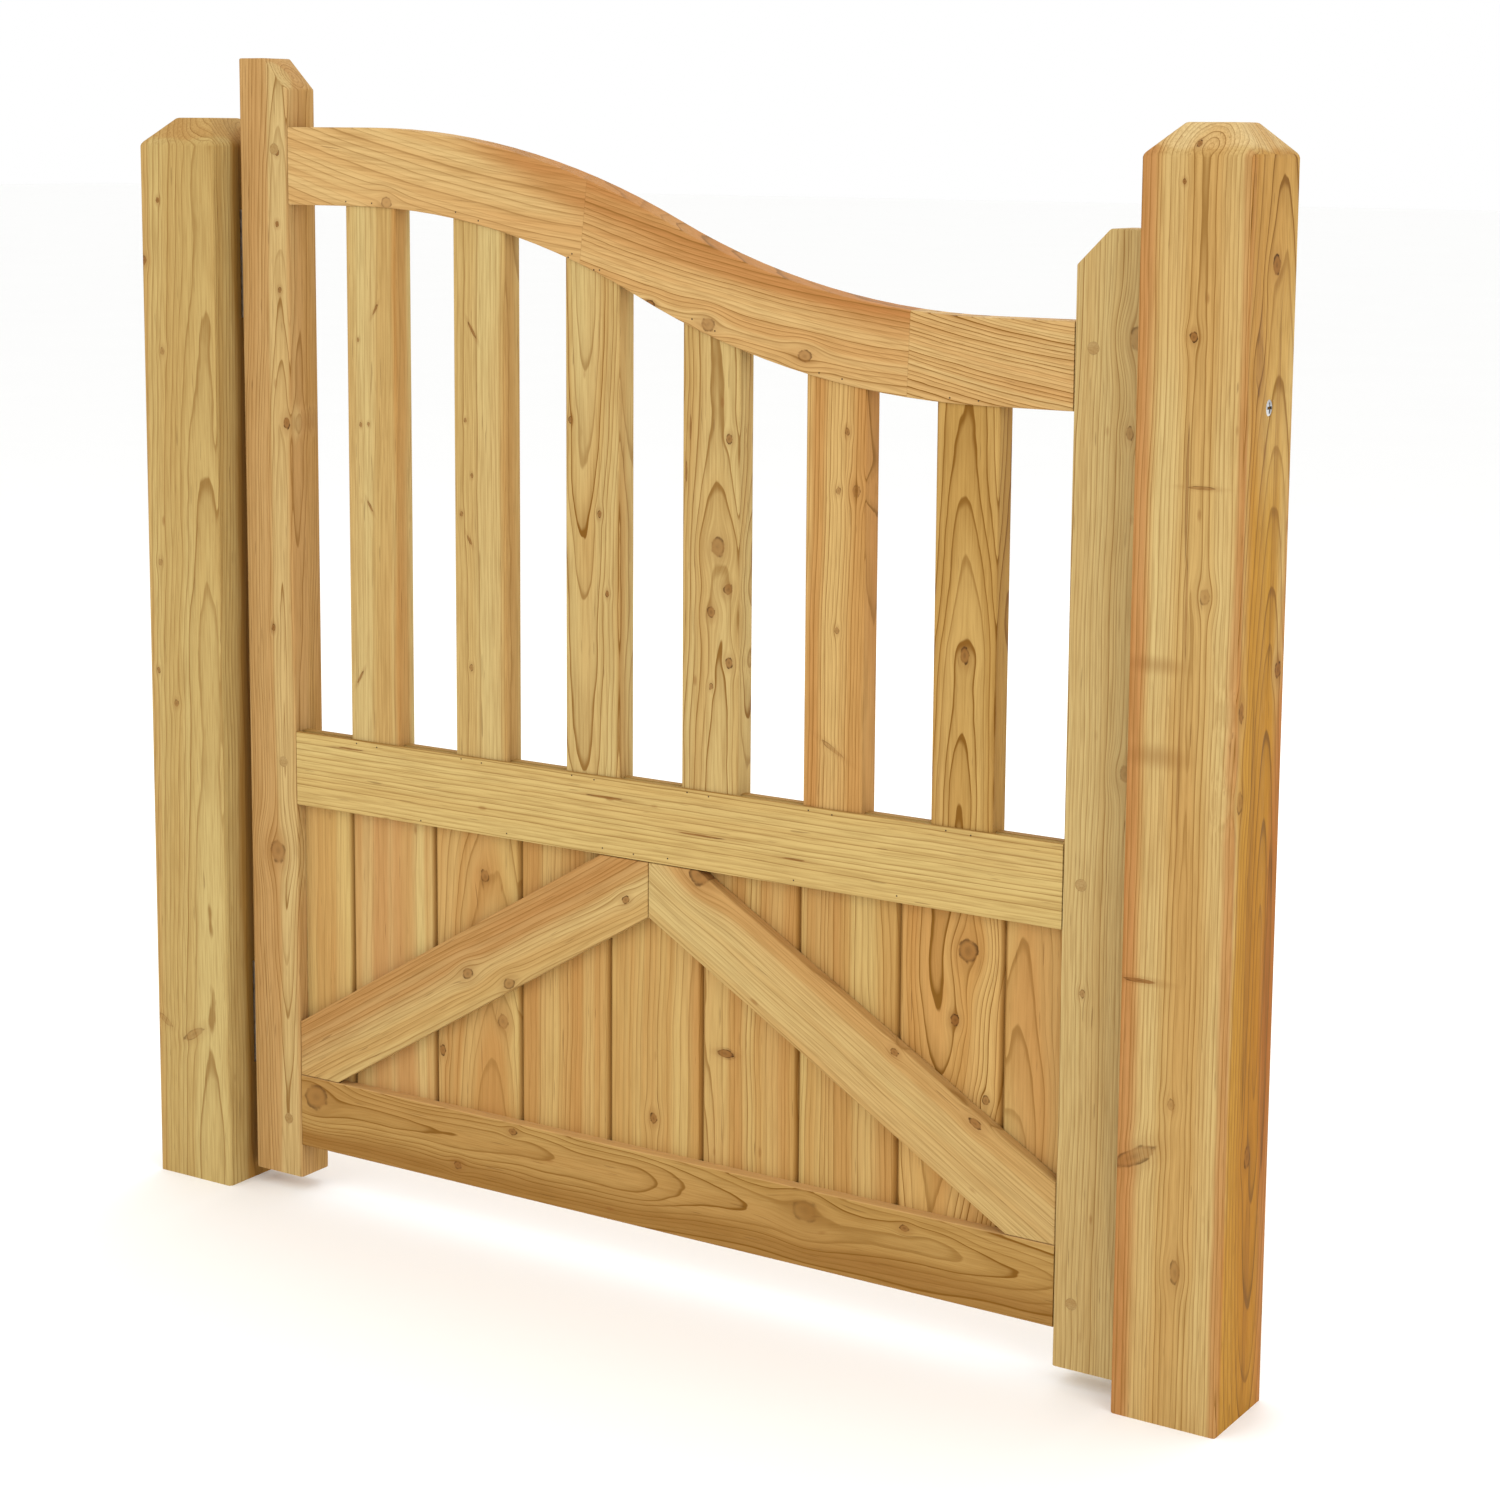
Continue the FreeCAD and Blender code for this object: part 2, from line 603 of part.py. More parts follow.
def ogee_edge(sketch, offset, left, right):
    # One edge of the ogee, offset from the rail's middle line, from its level left to its level right end
    run = sheet.leaf_width - 2 * sheet.stile_width
    drop = sheet.ogee_drop
    flat = sheet.ogee_flat
    rough = [(0, drop), (flat, drop), (run / 4 + flat / 2, 0.87 * drop), (run / 2, drop / 2),
             (0.75 * run - flat / 2, 0.13 * drop), (run - flat, 0), (run, 0)]
    start, bend, rise, turn, fall, level, stop = [FreeCAD.Vector(x, y, 0) for x, y in rough]
    first = sketch.addGeometry(Part.LineSegment(start, bend))
    crest = sketch.addGeometry(Part.Arc(bend, rise, turn))
    hollow = sketch.addGeometry(Part.Arc(turn, fall, level))
    last = sketch.addGeometry(Part.LineSegment(level, stop))
    join(sketch, "Tangent", first, 2, crest, 2)
    join(sketch, "Coincident", crest, 1, hollow, 1)
    join(sketch, "Tangent", hollow, 2, last, 1)
    high = f"size.top_rail_depth / 2 + size.ogee_drop + {offset}"
    low = f"size.top_rail_depth / 2 + {offset}"
    dimension(sketch, first, 1, (left, high))
    dimension(sketch, first, 2, ("size.ogee_flat", high))
    dimension(sketch, crest, 1, (f"{clear_width} / 2 + {offset} * {lean_across}",
                                 f"size.top_rail_depth / 2 + {half_drop} + {offset} * {lean_up}"))
    dimension(sketch, hollow, 2, (ogee_right, low))
    dimension(sketch, last, 2, (right, low))
    return first, last


def straight_edge(sketch, start_edge, start_end, stop_edge, stop_end):
    line = sketch.addGeometry(Part.LineSegment(FreeCAD.Vector(0, 0, 0), FreeCAD.Vector(1, 1, 0)))
    join(sketch, "Coincident", line, 1, start_edge, start_end)
    join(sketch, "Coincident", line, 2, stop_edge, stop_end)
    return line


def ogee_band(name, lower, upper, front, thick):
    # The band between two edges of the ogee, as long as the rail between its shoulders
    body = doc.addObject("PartDesign::Body", name)
    sketch = new_sketch(body, "XZ_Plane")
    ends = ("size.shoulder_gap", f"{clear_width} - size.shoulder_gap")
    top_first, top_last = ogee_edge(sketch, upper, *ends)
    low_first, low_last = ogee_edge(sketch, lower, *ends)
    straight_edge(sketch, top_first, 1, low_first, 1)
    straight_edge(sketch, top_last, 2, low_last, 2)
    pad(body, sketch, thick, True)
    return place(body, clear_left, front, low_end)


def ogee_space(name, lower):
    # All that lies above one edge of the ogee, to trim the pales with
    body = doc.addObject("PartDesign::Body", name)
    sketch = new_sketch(body, "XZ_Plane")
    first, last = ogee_edge(sketch, lower, "0", clear_width)
    ceiling = f"{hanging_top} - {low_end} + size.top_rail_depth"
    rough_left = FreeCAD.Vector(0, sheet.leaf_width, 0)
    rough_right = FreeCAD.Vector(sheet.leaf_width, sheet.leaf_width, 0)
    top = sketch.addGeometry(Part.LineSegment(rough_left, rough_right))
    dimension(sketch, top, 1, ("0", ceiling))
    dimension(sketch, top, 2, (clear_width, ceiling))
    straight_edge(sketch, first, 1, top, 1)
    straight_edge(sketch, last, 2, top, 2)
    pad(body, sketch, "size.leaf_thick", True)
    return place(body, clear_left, leaf_front, low_end)


under_edge = "(-size.top_rail_depth / 2)"
groove_edge = f"({under_edge} + size.pale_tongue_length + size.pale_clear)"
curved_band = ogee_band("top_rail_band", under_edge, "(size.top_rail_depth / 2)", leaf_front, rail_thick)
pale_groove = ogee_band("top_rail_groove", under_edge, groove_edge, f"{leaf_front} + {groove_front}",
                        f"{groove_back} - {groove_front}")
curved_tenons = [
    tenon("top_rail_high_tenon", "hanging", "high", "0"),
    tenon("top_rail_low_tenon", "shutting", "low", "0"),
]
curved_blank = fuse("top_rail_blank", [curved_band] + curved_tenons)
curved_holes = [pale_groove, peg_holes["hanging", "high"], peg_holes["shutting", "low"]]
keep(cut("top_rail_cut", curved_blank, curved_holes), "curved_top_rail")

# Pales: scribed under the curved rail and over the weathered mid rail

above_rail = ogee_space("above_rail", f"({under_edge} - size.pale_clear)")
above_tongue = ogee_space("above_tongue", f"({under_edge} + size.pale_tongue_length)")
pale_count = int(sheet.pale_count)
pale_space = f"(({clear_width} - size.pale_count * size.pale_width) / (size.pale_count + 1))"
pale_front = f"({leaf_front} + size.pale_setback)"
for i in range(pale_count):
    left = f"({clear_left} + {pale_space} + {i} * ({pale_space} + size.pale_width))"
    pale_foot = f"({mid_top} - size.weathering_fall)"
    shaft = block(f"pale_{i}_shaft", ("size.pale_width", "size.pale_thick", f"{hanging_top} - {pale_foot}"),
                  (left, pale_front, pale_foot))
    trimmed = cut(f"pale_{i}_trimmed", shaft, [above_rail, mid_section])
    tongue_foot = f"({mid_top} - size.pale_tongue_length)"
    tongue_sides = ("size.pale_width", "size.pale_tongue", f"{hanging_top} - {tongue_foot}")
    tongue = block(f"pale_{i}_tongue", tongue_sides, (left, pale_front, tongue_foot))
    keep(fuse(f"pale_{i}", [trimmed, cut(f"pale_{i}_tongued", tongue, [above_tongue])]), f"pale_{i + 1}")

# Matchboards: whole boards between two ripped end boards housed in the stiles

clear_now = sheet.leaf_width - 2 * sheet.stile_width
whole_boards = int((clear_now - 2 * sheet.least_end_board) // sheet.board_width)
end_cover = f"(({clear_width} - {whole_boards} * size.board_width) / 2)"
tongue_front = "((size.board_thick - size.board_tongue) / 2)"
housed = "(size.board_housing - size.board_clear)"


def grooved_edge(x):
    front = f"{tongue_front} - size.board_clear"
    back = f"{tongue_front} + size.board_tongue + size.board_clear"
    floor = f"{x} + size.board_tongue_length + size.board_clear"
    return [(x, "size.board_thick"), (x, back), (floor, back), (floor, front), (x, front),
            (x, "size.board_vee"), (f"{x} + size.board_vee", "0")]


def tongued_edge(x):
    back = f"{tongue_front} + size.board_tongue"
    tip = f"{x} + size.board_tongue_length"
    return [(f"{x} - size.board_vee", "0"), (x, "size.board_vee"), (x, tongue_front), (tip, tongue_front),
            (tip, back), (x, back), (x, "size.board_thick")]


def board(number, left, left_edge, right_edge):
    body = padded(f"board_{number}", "XY_Plane", left_edge + right_edge, board_length)
    keep(place(body, left, board_front, board_low), f"board_{number}")


board(1, clear_left, [(f"-{housed}", "size.board_thick"), (f"-{housed}", "0")],
      tongued_edge(f"({end_cover} - size.board_gap)"))
for i in range(whole_boards):
    board(i + 2, f"{clear_left} + {end_cover} + {i} * size.board_width",
          grooved_edge("0"), tongued_edge("(size.board_width - size.board_gap)"))
board(whole_boards + 2, f"{clear_right} - {end_cover}", grooved_edge("0"),
      [(f"{end_cover} + {housed}", "0"), (f"{end_cover} + {housed}", "size.board_thick")])

# Braces: each stands in a bottom corner, and their noses meet under the middle of the mid rail

gap = "size.shoulder_gap"
brace_top = f"({mid_low} - {bottom_top} - {gap})"
brace_end = f"(({clear_width} - {gap}) / 2)"
brace_slope = f"(({brace_top} - size.brace_heel) / ({brace_end} - size.brace_nose - {gap}))"
brace_height = f"(size.brace_width * sqrt(1 + {brace_slope} * {brace_slope}))"
brace_toe = f"({gap} + ({brace_height} + {gap} - size.brace_heel) / {brace_slope})"
brace_chin = f"(size.brace_heel + {brace_slope} * ({brace_end} - {gap}) - {brace_height})"
brace_corners = [
    (gap, gap), (brace_toe, gap), (brace_end, brace_chin), (brace_end, brace_top),
    (f"{brace_end} - size.brace_nose", brace_top), (gap, "size.brace_heel"),
]
mirrored_corners = [(f"{clear_width} - ({x})", z) for x, z in brace_corners]
for side, corners in (("hanging", brace_corners), ("shutting", mirrored_corners)):
    body = padded(f"{side}_brace_body", "XZ_Plane", corners, "size.board_setback")
    keep(place(body, clear_left, leaf_front, bottom_top), f"{side}_brace")

doc.recompute()
failed = [piece.Name for piece in doc.Objects if "Invalid" in piece.State or "Error" in piece.State]
broken = [piece.Label for piece in finished if piece.Shape.isNull() or not piece.Shape.isValid()]
if failed or broken:
    raise RuntimeError(f"failed: {failed}, broken: {broken}")

os.makedirs("parts", exist_ok=True)
for piece in finished:
    piece.Shape.exportStep(f"parts/{piece.Label}.step")
print(len(finished), "sub-parts written")
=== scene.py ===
import json
import math

import bmesh
import bpy
from mathutils import Matrix, Vector


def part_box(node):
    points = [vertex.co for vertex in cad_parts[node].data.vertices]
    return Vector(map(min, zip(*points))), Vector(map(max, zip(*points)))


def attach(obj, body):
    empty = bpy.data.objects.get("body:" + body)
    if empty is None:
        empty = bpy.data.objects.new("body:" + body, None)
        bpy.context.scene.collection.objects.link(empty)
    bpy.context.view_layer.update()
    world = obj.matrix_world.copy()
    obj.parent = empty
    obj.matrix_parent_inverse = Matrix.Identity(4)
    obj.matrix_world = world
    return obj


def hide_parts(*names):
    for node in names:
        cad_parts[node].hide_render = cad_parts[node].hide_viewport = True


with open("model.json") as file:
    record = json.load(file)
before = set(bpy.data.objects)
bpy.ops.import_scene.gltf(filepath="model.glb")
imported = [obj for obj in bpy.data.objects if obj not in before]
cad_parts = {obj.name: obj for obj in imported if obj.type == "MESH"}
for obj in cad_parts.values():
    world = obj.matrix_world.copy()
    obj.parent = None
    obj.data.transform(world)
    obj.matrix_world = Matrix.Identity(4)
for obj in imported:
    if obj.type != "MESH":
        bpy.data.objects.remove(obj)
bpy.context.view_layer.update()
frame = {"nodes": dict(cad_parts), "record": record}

nodeBody = {n: b for b, names in frame["record"]["behaviour"]["bodies"].items() for n in names}
mm = 0.001
print("frame loaded:", len(frame["nodes"]), "nodes")


# colours are picked as 0-255 screen values and turned to linear light
def shade(red, green, blue):
    def linear(v):
        v /= 255.0
        return v / 12.92 if v <= 0.04045 else ((v + 0.055) / 1.055) ** 2.4
    return (linear(red), linear(green), linear(blue), 1.0)


# node building helpers
def put(tree, socket, value):
    if isinstance(value, bpy.types.NodeSocket):
        tree.links.new(value, socket)
    else:
        socket.default_value = value


def calc(tree, operation, a, b=0.0, c=0.0):
    node = tree.nodes.new("ShaderNodeMath")
    node.operation = operation
    for socket, value in zip(node.inputs, (a, b, c)):
        put(tree, socket, value)
    return node.outputs[0]


def times(tree, a, b):
    return calc(tree, "MULTIPLY", a, b)


def vec(tree, operation, a, b=(0.0, 0.0, 0.0), scale=1.0):
    node = tree.nodes.new("ShaderNodeVectorMath")
    node.operation = operation
    put(tree, node.inputs[0], a)
    if operation == "SCALE":
        put(tree, node.inputs["Scale"], scale)
    else:
        put(tree, node.inputs[1], b)
    return node.outputs["Value" if operation in ("DOT_PRODUCT", "LENGTH") else "Vector"]


def ramp(tree, value, low, high, start=0.0, end=1.0):
    node = tree.nodes.new("ShaderNodeMapRange")
    node.interpolation_type = "SMOOTHSTEP"
    for socket, v in zip(node.inputs, (value, low, high, start, end)):
        put(tree, socket, v)
    return node.outputs[0]


def noise(tree, vector, scale=1.0, detail=2.0, roughness=0.5):
    node = tree.nodes.new("ShaderNodeTexNoise")
    put(tree, node.inputs["Vector"], vector)
    put(tree, node.inputs["Scale"], scale)
    put(tree, node.inputs["Detail"], detail)
    put(tree, node.inputs["Roughness"], roughness)
    return node.outputs[0]


def lineNoise(tree, place, detail=1.0):
    node = tree.nodes.new("ShaderNodeTexNoise")
    node.noise_dimensions = "1D"
    put(tree, node.inputs["W"], place)
    put(tree, node.inputs["Scale"], 1.0)
    put(tree, node.inputs["Detail"], detail)
    return node.outputs[0]


def blend(tree, amount, a, b, kind="MIX"):
    node = tree.nodes.new("ShaderNodeMix")
    node.data_type = "RGBA"
    node.blend_type = kind
    put(tree, node.inputs[0], amount)
    put(tree, node.inputs[6], a)
    put(tree, node.inputs[7], b)
    return node.outputs[2]


def joined(tree, x=0.0, y=0.0, z=0.0):
    node = tree.nodes.new("ShaderNodeCombineXYZ")
    for socket, value in zip(node.inputs, (x, y, z)):
        put(tree, socket, value)
    return node.outputs[0]


def parted(tree, vector):
    node = tree.nodes.new("ShaderNodeSeparateXYZ")
    put(tree, node.inputs[0], vector)
    return node.outputs


def stretched(tree, vector, across, along, seed):
    # squeezes the pattern across the grain and draws it out along it
    moved = vec(tree, "MULTIPLY", vector, (across, across, along))
    return vec(tree, "ADD", moved, joined(tree, seed, seed, seed))


def newMaterial(name):
    material = bpy.data.materials.new(name)
    material.use_nodes = True
    tree = material.node_tree
    place = tree.nodes.new("ShaderNodeTexCoord").outputs["Object"]
    return material, tree, tree.nodes["Principled BSDF"], place


def newObject(name, data):
    piece = bpy.data.objects.new(name, data)
    bpy.context.scene.collection.objects.link(piece)
    return piece


# sockets that carry a vector, where the others carry a number
vectorSockets = ("Place", "Centre", "Grain", "Facing", "Middle", "Squeeze")


def newGroup(name, inputs, outputs):
    tree = bpy.data.node_groups.new(name, "ShaderNodeTree")
    for labels, side in ((inputs, "INPUT"), (outputs, "OUTPUT")):
        for label in labels.split():
            kind = "NodeSocketVector" if label in vectorSockets else "NodeSocketFloat"
            tree.interface.new_socket(label, in_out=side, socket_type=kind)
    return tree, tree.nodes.new("NodeGroupInput").outputs, tree.nodes.new("NodeGroupOutput").inputs


def useGroup(tree, group, **values):
    node = tree.nodes.new("ShaderNodeGroup")
    node.node_tree = group
    for label, value in values.items():
        put(tree, node.inputs[label], value)
    return node.outputs


# a knot: bends the grain round itself and gives its own tint and dark rim
knotShape = {
    "outline": 1.1, "spread": 60.0, "uneven": 0.8,  # noise in the outline
    "core": (0.8, 1.02), "halo": (0.7, 2.6), "rim": (0.5, 0.86), "eye": 0.5,  # in radii from the centre
    "coreTint": 0.55, "haloTint": 0.3, "rimDark": 0.95, "eyeDark": 0.3, "rimGaps": (0.36, 0.57, 1.0, 0.1),
    "fade": 0.75, "flowLong": 0.8, "flowLeast": 2.2, "flowWide": 0.22}


def buildKnot():
    tree, i, o = newGroup(
        "knotInGrain", "Place Tint Dark Centre Grain Facing Radius Stretch Pull Reach Strength", "Place Tint Dark")
    away = vec(tree, "SUBTRACT", i["Place"], i["Centre"])
    sideways = vec(tree, "CROSS_PRODUCT", i["Facing"], i["Grain"])
    across = calc(tree, "DIVIDE", vec(tree, "DOT_PRODUCT", away, sideways), i["Radius"])
    along = calc(tree, "DIVIDE", vec(tree, "DOT_PRODUCT", away, i["Grain"]), i["Radius"])
    deep = calc(tree, "ABSOLUTE", vec(tree, "DOT_PRODUCT", away, i["Facing"]))
    fadeFrom = times(tree, i["Reach"], knotShape["fade"])
    near = ramp(tree, deep, fadeFrom, i["Reach"], 1.0, 0.0)
    drawn = calc(tree, "DIVIDE", along, i["Stretch"])
    acrossSquare = times(tree, across, across)
    outward = calc(tree, "SQRT", calc(tree, "MULTIPLY_ADD", drawn, drawn, acrossSquare))
    outline = vec(tree, "SCALE", joined(tree, across, drawn), scale=knotShape["outline"])
    own = vec(tree, "SCALE", i["Centre"], scale=knotShape["spread"])
    uneven = noise(tree, vec(tree, "ADD", outline, own), detail=3.0)
    outward = calc(tree, "MULTIPLY_ADD", calc(tree, "SUBTRACT", uneven, 0.5), knotShape["uneven"], outward)
    core = times(tree, ramp(tree, outward, *knotShape["core"], 1.0, 0.0), near)
    halo = times(tree, ramp(tree, outward, *knotShape["halo"], 1.0, 0.0), near)
    rim = times(tree, ramp(tree, outward, *knotShape["rim"]), core)
    rim = times(tree, rim, ramp(tree, uneven, *knotShape["rimGaps"]))
    eye = ramp(tree, outward, 0.0, knotShape["eye"], knotShape["eyeDark"], 0.0)
    tint = times(tree, core, knotShape["coreTint"])
    tint = calc(tree, "MULTIPLY_ADD", halo, knotShape["haloTint"], tint)
    dark = times(tree, rim, knotShape["rimDark"])
    dark = calc(tree, "MAXIMUM", dark, times(tree, eye, near))
    put(tree, o["Tint"], calc(tree, "MAXIMUM", i["Tint"], times(tree, tint, i["Strength"])))
    put(tree, o["Dark"], calc(tree, "MAXIMUM", i["Dark"], times(tree, dark, i["Strength"])))
    # the grain opens round the knot and closes again further along
    flow = calc(tree, "MULTIPLY_ADD", i["Stretch"], knotShape["flowLong"], knotShape["flowLeast"])
    flow = calc(tree, "DIVIDE", along, flow)
    fall = calc(tree, "MULTIPLY_ADD", flow, flow, times(tree, acrossSquare, knotShape["flowWide"]))
    fall = calc(tree, "EXPONENT", times(tree, fall, -1.0))
    push = times(tree, times(tree, across, i["Radius"]), times(tree, fall, near))
    push = times(tree, push, i["Pull"])
    put(tree, o["Place"], vec(tree, "SUBTRACT", i["Place"], vec(tree, "SCALE", sideways, scale=push)))
    return tree


# growth rings of the log a piece is sawn from: x across, y deep, z along the grain
ringShape = {
    "slow": (8.0, 3.4), "quick": (32.0, 9.0), "uneven": 1.5, "unevenStep": 0.31,
    "slowRise": (0.25, 0.9), "slowMix": 0.3, "rise": (0.76, 0.92), "riseMix": 0.7, "fall": (0.95, 1.0),
    "weakest": 0.35, "bandStep": 44.0, "bandDetail": 1.5}


def buildRings():
    tree, i, o = newGroup(
        "growthRings", "Place PithX PithY LeanX LeanY Bow Ring Waver Wobble Seed", "Late Band")
    x, y, z = parted(tree, i["Place"])
    bent = times(tree, calc(tree, "MULTIPLY_ADD", i["Bow"], z, i["LeanX"]), z)
    tilted = times(tree, i["LeanY"], z)
    fromX = calc(tree, "SUBTRACT", calc(tree, "SUBTRACT", x, i["PithX"]), bent)
    fromY = calc(tree, "SUBTRACT", calc(tree, "SUBTRACT", y, i["PithY"]), tilted)
    slow = noise(tree, stretched(tree, i["Place"], *ringShape["slow"], i["Seed"]))
    slow = calc(tree, "SUBTRACT", slow, 0.5)
    quick = noise(tree, stretched(tree, i["Place"], *ringShape["quick"], i["Seed"]), detail=3.0)
    quick = calc(tree, "SUBTRACT", quick, 0.5)
    radius = calc(tree, "SQRT", calc(tree, "MULTIPLY_ADD", fromX, fromX, times(tree, fromY, fromY)))
    radius = calc(tree, "MULTIPLY_ADD", slow, i["Waver"], radius)
    count = calc(tree, "MULTIPLY_ADD", quick, i["Wobble"], calc(tree, "DIVIDE", radius, i["Ring"]))
    uneven = lineNoise(tree, calc(tree, "MULTIPLY_ADD", count, ringShape["unevenStep"], i["Seed"]))
    count = calc(tree, "MULTIPLY_ADD", uneven, ringShape["uneven"], count)
    phase = calc(tree, "FRACT", count)
    chance = tree.nodes.new("ShaderNodeTexWhiteNoise")
    chance.noise_dimensions = "1D"
    put(tree, chance.inputs["W"], calc(tree, "ADD", calc(tree, "FLOOR", count), i["Seed"]))
    slowRise = times(tree, ramp(tree, phase, *ringShape["slowRise"]), ringShape["slowMix"])
    rise = calc(tree, "MULTIPLY_ADD", ramp(tree, phase, *ringShape["rise"]), ringShape["riseMix"], slowRise)
    late = times(tree, rise, ramp(tree, phase, *ringShape["fall"], 1.0, 0.0))
    weakest = ringShape["weakest"]
    strong = calc(tree, "MULTIPLY_ADD", chance.outputs["Value"], 1.0 - weakest, weakest)
    put(tree, o["Late"], times(tree, late, strong))
    band = calc(tree, "MULTIPLY_ADD", radius, ringShape["bandStep"], i["Seed"])
    put(tree, o["Band"], lineNoise(tree, band, ringShape["bandDetail"]))
    return tree


# fine fibres, short dark flecks, slow tone drift along the grain and pin knots
fibreShape = {
    "fibre": (620.0, 22.0), "fleck": (520.0, 26.0), "drift": (24.0, 2.6), "pin": (40.0, 15.0),
    "fleckFrom": (0.71, 0.78), "pinSize": (0.03, 0.1), "pinShare": (0.35, 0.9)}


def buildFibre():
    tree, i, o = newGroup("sawnFibre", "Place Seed", "Fibre Fleck Drift Pin")

    def drawnOut(kind):
        return stretched(tree, i["Place"], *fibreShape[kind], i["Seed"])

    put(tree, o["Fibre"], noise(tree, drawnOut("fibre"), detail=3.0))
    put(tree, o["Fleck"], ramp(tree, noise(tree, drawnOut("fleck"), detail=1.0), *fibreShape["fleckFrom"]))
    put(tree, o["Drift"], noise(tree, drawnOut("drift"), detail=3.0))
    pins = tree.nodes.new("ShaderNodeTexVoronoi")
    put(tree, pins.inputs["Vector"], drawnOut("pin"))
    pins.inputs["Scale"].default_value = 1.0
    spot = ramp(tree, pins.outputs["Distance"], *fibreShape["pinSize"], 1.0, 0.0)
    picked = tree.nodes.new("ShaderNodeSeparateColor")
    put(tree, picked.inputs[0], pins.outputs["Color"])
    put(tree, o["Pin"], times(tree, spot, ramp(tree, picked.outputs[0], *fibreShape["pinShare"])))
    return tree


# a round zone of another tone in the log with a wandering border: mostly darker heartwood, on the posts also
# painted shade and painted light
zoneEdge = {"wander": (22.0, 3.5), "depth": 16.0}


def buildZone():
    tree, i, o = newGroup("toneZone", "Place Middle Squeeze Radius Soft Seed", "Mask")
    flat = vec(tree, "MULTIPLY", vec(tree, "SUBTRACT", i["Place"], i["Middle"]), i["Squeeze"])
    wander = noise(tree, stretched(tree, i["Place"], *zoneEdge["wander"], i["Seed"]), detail=3.0)
    wander = calc(tree, "SUBTRACT", wander, 0.5)
    radius = calc(tree, "MULTIPLY_ADD", wander, zoneEdge["depth"] * mm, vec(tree, "LENGTH", flat))
    inside = calc(tree, "SUBTRACT", i["Radius"], i["Soft"])
    outside = calc(tree, "ADD", i["Radius"], i["Soft"])
    put(tree, o["Mask"], ramp(tree, radius, inside, outside, 1.0, 0.0))
    return tree


# plated or bright metal: cloudy tone, fine rubbing lines and faint spots
metalShape = {
    "rubs": (90.0, 90.0, 1400.0), "rubHeight": 0.5, "rough": 0.2, "cloudRough": 0.18,
    "spots": 900.0, "spotFrom": (0.62, 0.72), "spotTone": -0.25, "spotRough": 0.15,
    "toneFrom": (0.25, 0.75), "bump": 0.2, "bumpDepth": 0.05}


def buildMetal():
    tree, i, o = newGroup("metalSkin", "Place Cloud Rub", "Tone Rough Height")
    cloud = noise(tree, i["Place"], i["Cloud"], 4.0, 0.6)
    rubs = noise(tree, vec(tree, "MULTIPLY", i["Place"], metalShape["rubs"]))
    spots = ramp(tree, noise(tree, i["Place"], metalShape["spots"]), *metalShape["spotFrom"])
    put(tree, o["Tone"], calc(tree, "MULTIPLY_ADD", spots, metalShape["spotTone"], cloud))
    rough = calc(tree, "MULTIPLY_ADD", cloud, metalShape["cloudRough"], metalShape["rough"])
    rough = calc(tree, "MULTIPLY_ADD", rubs, i["Rub"], rough)
    put(tree, o["Rough"], calc(tree, "MULTIPLY_ADD", spots, metalShape["spotRough"], rough))
    put(tree, o["Height"], calc(tree, "MULTIPLY_ADD", rubs, metalShape["rubHeight"], cloud))
    return tree


knotGroup = buildKnot()
ringGroup = buildRings()
fibreGroup = buildFibre()
zoneGroup = buildZone()
metalGroup = buildMetal()
print("shader groups built")


# timber: turns the piece's own grain direction into the log's length
def logTurn(slope):
    # slope is the grain's angle above the X axis in degrees, 90 for an upright piece
    return (0.0, math.radians(slope - 90.0), 0.0)


def sloped(angle):
    # a direction in the gate's plane, in degrees above the X axis
    return Vector((math.cos(math.radians(angle)), 0.0, math.sin(math.radians(angle))))


def inMm(values):
    return tuple(v * mm for v in values)


def mapped(tree, place, turn, centre, finer=1.0):
    node = tree.nodes.new("ShaderNodeMapping")
    put(tree, node.inputs["Vector"], place)
    turnX, turnY, turnZ = (Matrix.Rotation(angle, 3, axis) for angle, axis in zip(turn, "XYZ"))
    node.inputs["Rotation"].default_value = turn
    node.inputs["Scale"].default_value = (finer, finer, finer)
    node.inputs["Location"].default_value = -(turnZ @ turnY @ turnX @ Vector(centre)) * finer
    return node.outputs[0]


def ratio(tone, base):
    return tuple(t / b for t, b in zip(tone[:3], base[:3])) + (1.0,)


# what all the timber shares, with places in mm
woodSkin = {
    "slant": 0.6, "fibreSeed": 3.1, "zoneSeed": 7.7, "seam": (0.1, 0.8),
    "band": (0.36, 0.64), "drift": (0.3, 0.7), "fibre": (0.35, 0.75), "fleckMix": 0.4,
    "groove": (-4.5, -2.0), "grooveWide": (0.8, 4.4), "grooveMix": 0.62,
    "backLine": (5.0, 6.5), "backWide": (0.4, 1.0), "backMix": 0.8, "crown": (0.9, 0.2), "crownMix": 0.65,
    "rough": 0.6, "lateRough": -0.1, "fibreRough": 0.12, "specular": 0.05,
    "bump": 0.35, "bumpDepth": 0.25, "lateHeight": 0.6, "fibreHeight": 0.7}


def addKnots(tree, place, look):
    grain, tint, dark = sloped(look["slope"]), 0.0, 0.0
    for x, y, z, radius, stretch, strength, pull, *kinds in look.get("knots", []):
        kind = "".join(kinds)
        facing = Vector((1.0, 0.0, 0.0) if "side" in kind else (0.0, 1.0, 0.0))
        sideways = facing.cross(grain)
        along, upright = (sideways, grain) if "across" in kind else (grain, sideways)
        if "falling" in kind or "rising" in kind:
            slant = woodSkin["slant"] if "rising" in kind else -woodSkin["slant"]
            along = (along + upright * slant).normalized()
        out = useGroup(
            tree, knotGroup, Place=place, Tint=tint, Dark=dark, Centre=inMm((x, y, z)), Grain=along,
            Facing=facing, Radius=radius * look["knotSize"] * mm, Stretch=stretch, Pull=pull,
            Reach=look["reach"] * mm, Strength=strength)
        place, tint, dark = out["Place"], out["Tint"], out["Dark"]
    return place, tint, dark


